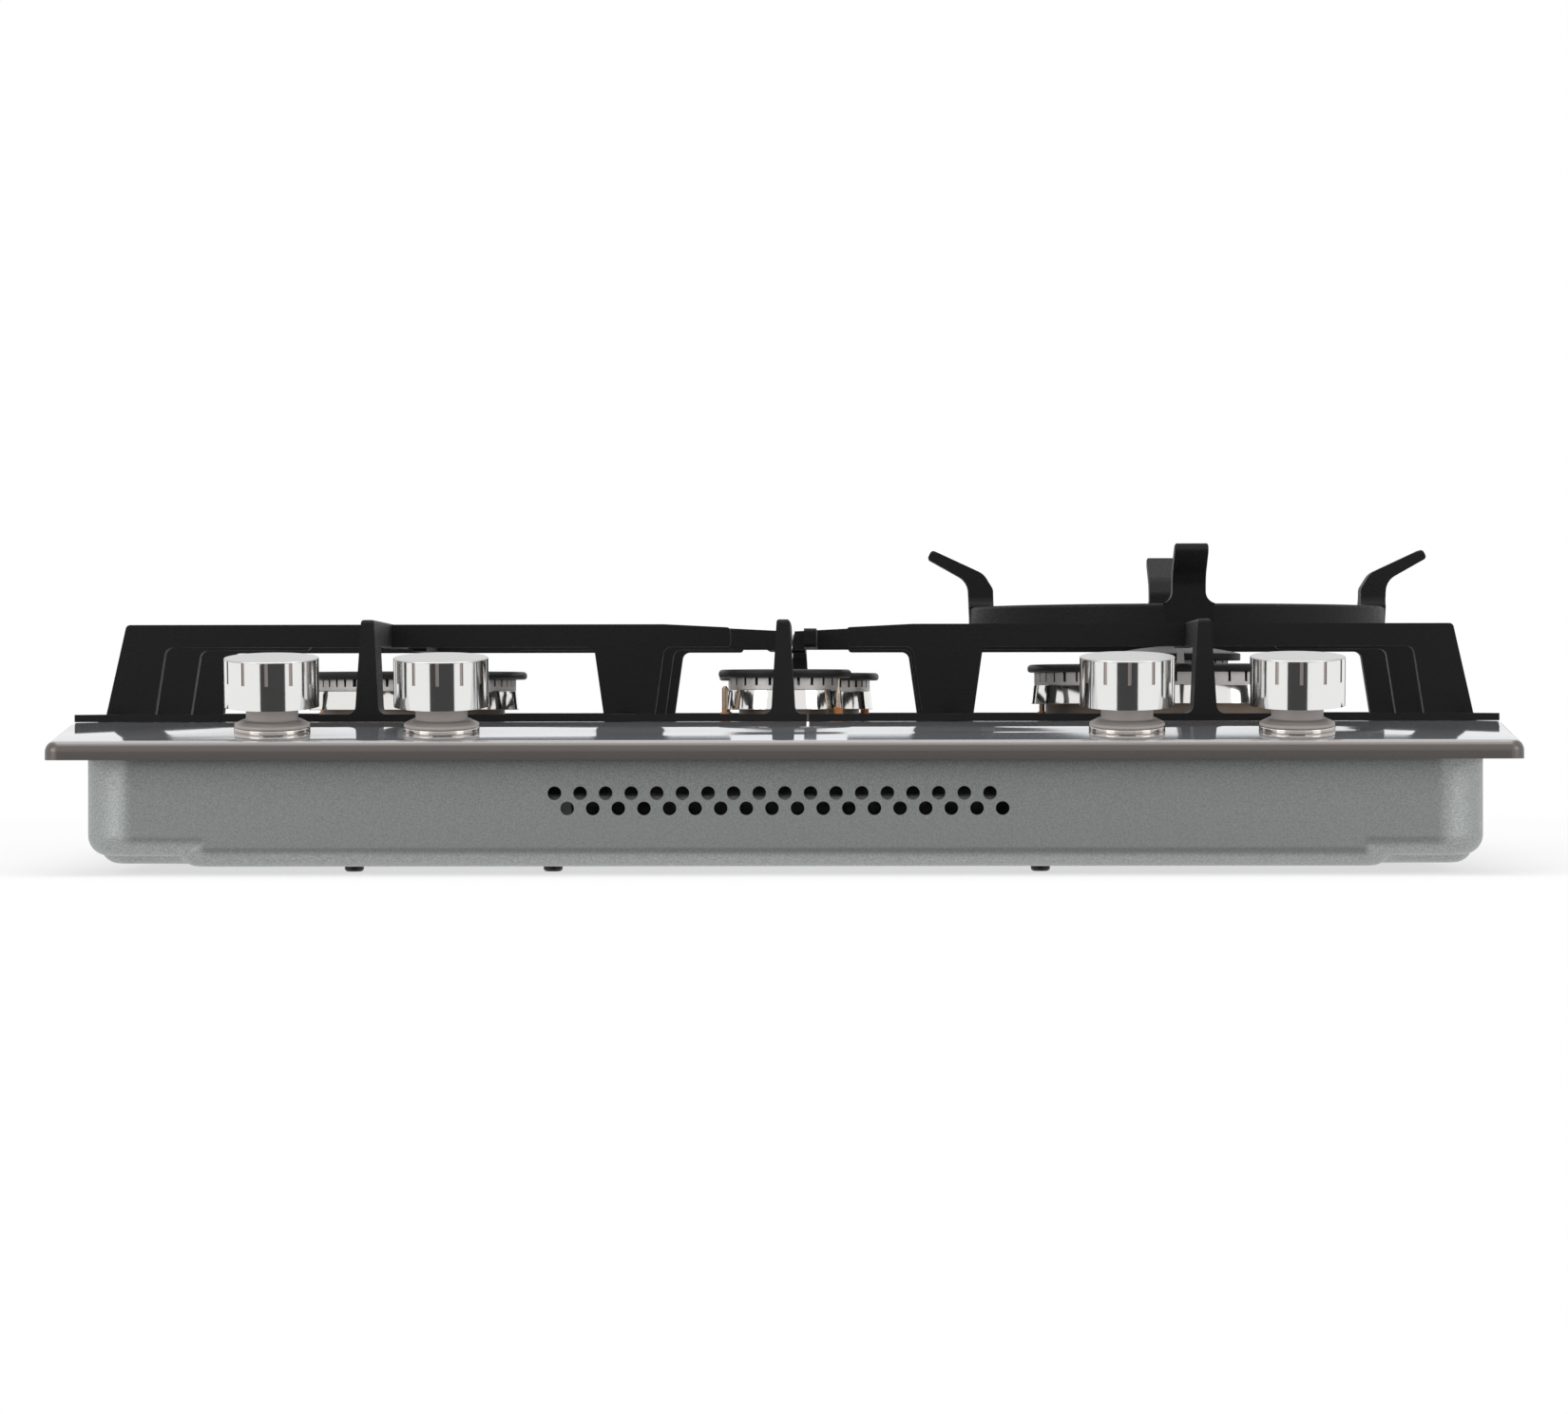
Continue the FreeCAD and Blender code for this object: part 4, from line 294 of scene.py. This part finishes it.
def knob_finish(number, x):
    """Polished metal about one knob's own axis."""
    metal = finish("knob metal %d" % number, (0.80, 0.80, 0.79), 1.0, 0.12)
    tree = metal.node_tree
    place = tree.nodes.new("ShaderNodeTexCoord")
    shift = tree.nodes.new("ShaderNodeVectorMath")
    shift.operation = "SUBTRACT"
    shift.inputs[1].default_value = (x, *TAP_FOOT)
    turn = tree.nodes.new("ShaderNodeVectorRotate")
    turn.rotation_type = "X_AXIS"
    turn.inputs["Angle"].default_value = -TAP_LEAN
    parts = tree.nodes.new("ShaderNodeSeparateXYZ")
    flat = tree.nodes.new("ShaderNodeCombineXYZ")
    radius = tree.nodes.new("ShaderNodeVectorMath")
    radius.operation = "LENGTH"
    tree.links.new(place.outputs["Object"], shift.inputs[0])
    tree.links.new(shift.outputs["Vector"], turn.inputs["Vector"])
    tree.links.new(turn.outputs["Vector"], parts.inputs["Vector"])
    tree.links.new(parts.outputs["X"], flat.inputs["X"])
    tree.links.new(parts.outputs["Y"], flat.inputs["Y"])
    tree.links.new(flat.outputs["Vector"], radius.inputs[0])
    from_axis = radius.outputs["Value"]
    rings = tree.nodes.new("ShaderNodeTexNoise")
    rings.noise_dimensions = "1D"
    rings.inputs["Scale"].default_value = 5000.0
    rings.inputs["Detail"].default_value = 2.0
    tree.links.new(from_axis, rings.inputs["W"])
    in_groove = ramp(metal, from_axis, SKIRT_RADIUS - MARK_DEPTH / 2, SKIRT_RADIUS - MARK_DEPTH / 4, 1.0, 0.0)
    on_top = ramp(metal, parts.outputs["Z"], KNOB_TOP - TOP_EDGE - 0.0002, KNOB_TOP - TOP_EDGE, 0.0, 1.0)
    below_top = ramp(metal, on_top, 0.0, 1.0, 1.0, 0.0)
    filled = tree.nodes.new("ShaderNodeMath")
    filled.operation = "MULTIPLY"
    tree.links.new(in_groove, filled.inputs[0])
    tree.links.new(below_top, filled.inputs[1])
    # Painted shade: the spun top is coloured a darker grey than the polished skirt of the same metal.
    skirt_bright_top_shaded = blend_colour(metal, on_top, (0.80, 0.80, 0.79), (0.50, 0.50, 0.495))
    blend_colour(metal, filled.outputs["Value"], skirt_bright_top_shaded, (0.38, 0.33, 0.31))
    dull = tree.nodes.new("ShaderNodeMath")
    dull.operation = "ADD"
    tree.links.new(ramp(metal, on_top, 0.0, 1.0, 0.09, 0.3), dull.inputs[0])
    tree.links.new(ramp(metal, filled.outputs["Value"], 0.0, 1.0, 0.0, 0.4), dull.inputs[1])
    into(metal, dull.outputs["Value"], "Roughness")
    lathe = tree.nodes.new("ShaderNodeMath")
    lathe.operation = "MULTIPLY"
    tree.links.new(rings.outputs["Fac"], lathe.inputs[0])
    tree.links.new(on_top, lathe.inputs[1])
    relief(metal, lathe.outputs["Value"], 0.00002)
    return metal


def choose(piece, test):
    """Select the faces that a test on centre and normal picks out."""
    bpy.ops.mesh.select_all(action="DESELECT")
    bpy.ops.object.mode_set(mode="OBJECT")
    for face in piece.data.polygons:
        face.select = test(face.center, face.normal)
    bpy.ops.object.mode_set(mode="EDIT")


def turn_knob(number, x):
    """Turn one knob on its own axis, engrave it, hollow it, and stand it on its tap."""
    bpy.ops.object.select_all(action="DESELECT")
    bpy.ops.mesh.primitive_cylinder_add(vertices=SKIRT_SIDES, radius=SKIRT_RADIUS, depth=KNOB_TOP - KNOB_FOOT,
                                        location=(0, 0, (KNOB_TOP + KNOB_FOOT) / 2),
                                        rotation=(0, 0, math.pi / SKIRT_SIDES))
    piece = bpy.context.object
    piece.name = "knob_%d_finished" % number
    bpy.ops.object.transform_apply(location=True, rotation=True, scale=True)
    bpy.ops.object.mode_set(mode="EDIT")
    bpy.ops.mesh.select_mode(type="FACE")
    choose(piece, lambda centre, normal: normal.z > 0.9)
    bpy.ops.mesh.bevel(offset=TOP_EDGE, segments=3, affect="EDGES")
    bpy.ops.mesh.select_all(action="SELECT")
    bpy.ops.mesh.bisect(plane_co=(0, 0, KNOB_TOP - MARK_LENGTH), plane_no=(0, 0, 1))

    def is_mark(centre, normal):
        if abs(normal.z) > 0.1 or not KNOB_TOP - MARK_LENGTH <= centre.z <= KNOB_TOP - TOP_EDGE:
            return False
        turned = math.degrees(math.atan2(centre.y, centre.x))
        nearest = (turned + MARK_STEP / 2) % MARK_STEP - MARK_STEP / 2
        return abs(nearest) < MARK_HALF_WIDTH

    choose(piece, is_mark)
    bpy.ops.mesh.extrude_region_move()
    bpy.ops.transform.resize(value=(MARK_FLOOR, MARK_FLOOR, 1.0), center_override=(0, 0, 0))
    choose(piece, lambda centre, normal: normal.z < -0.9 and abs(centre.z - KNOB_FOOT) < 0.0001)
    bpy.ops.mesh.inset(thickness=SKIRT_WALL)
    bpy.ops.mesh.extrude_region_move(TRANSFORM_OT_translate={"value": (0, 0, HOLLOW_DEPTH)})
    bpy.ops.mesh.inset(thickness=BOSS_INSET)
    bpy.ops.mesh.extrude_region_move(TRANSFORM_OT_translate={"value": (0, 0, -BOSS_LENGTH)})
    bpy.ops.object.mode_set(mode="OBJECT")
    smooth_over(piece)
    piece.location = (x, *TAP_FOOT)
    piece.rotation_euler = (TAP_LEAN, 0, 0)
    bpy.ops.object.transform_apply(location=True, rotation=True, scale=True)
    piece.data.materials.append(knob_finish(number, x))
    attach(piece, "knob_%d_body" % number)
    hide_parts("knob_%d" % number)


for number in TAPS:
    low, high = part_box("knob_%d" % number)
    turn_knob(number, (low.x + high.x) / 2)

# ---------------------------------------------------------------------------------------------
# Burners: a chromed steel cup on a dull neck with painted shade, a cast ring with flame ports, and an
# enamelled cap on top.
# ---------------------------------------------------------------------------------------------
CUP_WALL = 0.0082


def cup_finish(name, wall_foot):
    """Bright chrome on the wall of a cup, and dull steel with painted shade as a dark brown colour on the
    neck under it.
    """
    chrome = finish(name, (0.78, 0.77, 0.75), 1.0, 0.06)
    tree = chrome.node_tree
    place = tree.nodes.new("ShaderNodeTexCoord")
    parts = tree.nodes.new("ShaderNodeSeparateXYZ")
    tree.links.new(place.outputs["Object"], parts.inputs["Vector"])
    on_wall = ramp(chrome, parts.outputs["Z"], wall_foot, wall_foot + 0.0002, 0.0, 1.0)
    # Painted shade: the neck under the cup wall is coloured dark brown and given a rougher finish.
    blend_colour(chrome, on_wall, (0.16, 0.125, 0.10), (0.78, 0.77, 0.75))
    into(chrome, ramp(chrome, on_wall, 0.0, 1.0, 0.4, 0.07), "Roughness")
    return chrome


satin_casting = finish("satin casting", (0.50, 0.48, 0.46), 1.0, 0.45)
casting_grain = grain(satin_casting, 1500.0)
blend_colour(satin_casting, casting_grain, (0.42, 0.40, 0.385), (0.6, 0.58, 0.56))
relief(satin_casting, casting_grain, 0.00004)
enamel = finish("black enamel", (0.007, 0.007, 0.007), 0.0, 0.4, Specular_IOR_Level=0.22)
relief(enamel, grain(enamel, 500.0), 0.00005)
for burner in BURNERS:
    low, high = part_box(burner + "_burner_cup")
    softened(burner + "_burner_cup", cup_finish(burner + " cup", high.z - CUP_WALL), 0.0002)
    softened(burner + "_burner_ring", satin_casting, 0.00012, 1)
for cap in ("rapid_burner_cap", "auxiliary_burner_cap", "semi_rapid_burner_cap", "wok_outer_cap",
            "wok_centre_cap"):
    softened(cap, enamel, 0.0004)

# ---------------------------------------------------------------------------------------------
# Spark electrodes and thermocouples: a heat-tinted steel pin that stands in a copper-brown glazed
# foot, so the finish changes where the foot ends.
# ---------------------------------------------------------------------------------------------
SPARK_FOOT_TOP = 0.0659
SENSING_FOOT_TOP = 0.0639


def pin_finish(name, pin_colour, foot_colour, foot_end):
    """Tinted metal above the foot and glaze below."""
    material = finish(name, pin_colour, 1.0, 0.3)
    tree = material.node_tree
    place = tree.nodes.new("ShaderNodeTexCoord")
    parts = tree.nodes.new("ShaderNodeSeparateXYZ")
    tree.links.new(place.outputs["Object"], parts.inputs["Vector"])
    above = ramp(material, parts.outputs["Z"], foot_end, foot_end + 0.0001, 0.0, 1.0)
    blend_colour(material, above, foot_colour, pin_colour)
    into(material, ramp(material, above, 0.0, 1.0, 0.1, 0.95), "Metallic")
    into(material, ramp(material, grain(material, 700.0), 0.3, 0.7, 0.22, 0.4), "Roughness")
    return material


softened("spark_electrodes", pin_finish("spark pin", (0.46, 0.38, 0.31), (0.42, 0.15, 0.04), SPARK_FOOT_TOP),
         0.0002)
softened("thermocouples", pin_finish("sensing pin", (0.34, 0.25, 0.18), (0.40, 0.15, 0.05), SENSING_FOOT_TOP),
         0.0002)

# ---------------------------------------------------------------------------------------------
# Pan supports and wok ring: grey iron castings with soft edges and a matt black enamel skin.
# ---------------------------------------------------------------------------------------------
cast_skin = finish("enamelled casting", (0.006, 0.006, 0.0058), 0.0, 0.5, Specular_IOR_Level=0.17)
pebbling = grain(cast_skin, 1200.0, detail=4.0)
relief(cast_skin, pebbling, 0.0002)
into(cast_skin, ramp(cast_skin, pebbling, 0.3, 0.7, 0.42, 0.6), "Roughness")
for casting in ("left_pan_support", "right_pan_support", "wok_ring"):
    softened(casting, cast_skin, 0.0009, 3)

# ---------------------------------------------------------------------------------------------
# Studio: pale floor that mirrors do not see, white surround, soft light from above, and one dark
# board in front that only mirrors see, which draws the dark bands on the knobs and the case.
# ---------------------------------------------------------------------------------------------


def seen_white(tree, plain):
    """White where the camera, a mirror or glass looks, and the plain shader for all other light."""
    path = tree.nodes.new("ShaderNodeLightPath")
    white = tree.nodes.new("ShaderNodeEmission" if plain.bl_idname != "ShaderNodeBackground"
                           else "ShaderNodeBackground")
    white.inputs["Color"].default_value = (1, 1, 1, 1)
    white.inputs["Strength"].default_value = 1.0
    seen = path.outputs["Is Camera Ray"]
    for ray in ("Is Glossy Ray", "Is Transmission Ray"):
        either = tree.nodes.new("ShaderNodeMath")
        either.operation = "MAXIMUM"
        tree.links.new(seen, either.inputs[0])
        tree.links.new(path.outputs[ray], either.inputs[1])
        seen = either.outputs["Value"]
    return white, seen


def two_ways(tree, factor, first, second):
    """One shader or the other."""
    mix = tree.nodes.new("ShaderNodeMixShader")
    tree.links.new(factor, mix.inputs["Fac"])
    tree.links.new(first.outputs[0], mix.inputs[1])
    tree.links.new(second.outputs[0], mix.inputs[2])
    return mix


world = bpy.data.worlds.new("white studio")
bpy.context.scene.world = world
world.use_nodes = True
sky = world.node_tree.nodes["Background"]
sky.inputs["Color"].default_value = (1, 1, 1, 1)
sky.inputs["Strength"].default_value = 0.55
white, seen = seen_white(world.node_tree, sky)
world_mix = two_ways(world.node_tree, seen, sky, white)
world.node_tree.links.new(world_mix.outputs[0], world.node_tree.nodes["World Output"].inputs["Surface"])

bpy.ops.object.select_all(action="DESELECT")
bpy.ops.mesh.primitive_plane_add(size=60.0, location=(0.0, 0.0, 0.0))
floor = bpy.context.object
floor.name = "floor"
floor_paint = bpy.data.materials.new("pale floor")
floor_paint.use_nodes = True
tree = floor_paint.node_tree
paint = tree.nodes["Principled BSDF"]
paint.inputs["Base Color"].default_value = (0.92, 0.92, 0.92, 1.0)
paint.inputs["Roughness"].default_value = 0.9
white, seen = seen_white(tree, paint)
floor_place = tree.nodes.new("ShaderNodeTexCoord")
far_off = tree.nodes.new("ShaderNodeVectorMath")
far_off.operation = "LENGTH"
tree.links.new(floor_place.outputs["Object"], far_off.inputs[0])
mostly = tree.nodes.new("ShaderNodeMath")
mostly.operation = "MULTIPLY"
tree.links.new(ramp(floor_paint, far_off.outputs["Value"], 0.35, 1.0, 0.6, 1.0), mostly.inputs[1])
tree.links.new(seen, mostly.inputs[0])
floor_mix = two_ways(tree, mostly.outputs["Value"], paint, white)
tree.links.new(floor_mix.outputs[0], tree.nodes["Material Output"].inputs["Surface"])
floor.data.materials.append(floor_paint)
floor.visible_glossy = False

bpy.ops.object.select_all(action="DESELECT")
bpy.ops.mesh.primitive_plane_add(size=1.0, location=(-0.35, -1.885, -0.575),
                                 rotation=(math.radians(90), 0, math.radians(43.8)))
board = bpy.context.object
board.name = "dark board"
board.scale = (2.355, 1.25, 1.0)
board_paint = bpy.data.materials.new("dark board")
board_paint.use_nodes = True
tree = board_paint.node_tree
glow = tree.nodes.new("ShaderNodeEmission")
glow.inputs["Color"].default_value = (0.06, 0.06, 0.06, 1.0)
tree.links.new(glow.outputs[0], tree.nodes["Material Output"].inputs["Surface"])
board.data.materials.append(board_paint)
board.visible_camera = False
board.visible_diffuse = False
board.visible_shadow = False
board.visible_transmission = False


def lamp(name, place, aim, size, energy):
    """A soft box."""
    light = bpy.data.lights.new(name, "AREA")
    light.shape = "RECTANGLE"
    light.size, light.size_y = size
    light.energy = energy
    holder = bpy.data.objects.new(name, light)
    bpy.context.scene.collection.objects.link(holder)
    holder.location = place
    holder.rotation_euler = (Vector(aim) - Vector(place)).to_track_quat("-Z", "Y").to_euler()
    return holder


lamp("overhead box", (0.0, -0.2, 1.9), (0.0, 0.0, 0.0), (2.2, 1.4), 20.0)
lamp("left box", (-1.8, -1.6, 0.9), (0.0, 0.0, 0.03), (1.2, 1.4), 12.0)
lamp("right box", (1.9, -1.3, 0.9), (0.0, 0.0, 0.03), (1.0, 1.4), 9.0)

camera_data = bpy.data.cameras.new("camera")
camera_data.lens = 117.5
camera_data.sensor_width = 36.0
camera_data.clip_end = 100.0
camera = bpy.data.objects.new("camera", camera_data)
bpy.context.scene.collection.objects.link(camera)
camera.location = (0.032, -2.255, 0.066)
camera.rotation_euler = (math.radians(90.0), math.radians(0.08), math.radians(0.90))
bpy.context.scene.camera = camera
bpy.context.scene.view_settings.view_transform = "Standard"
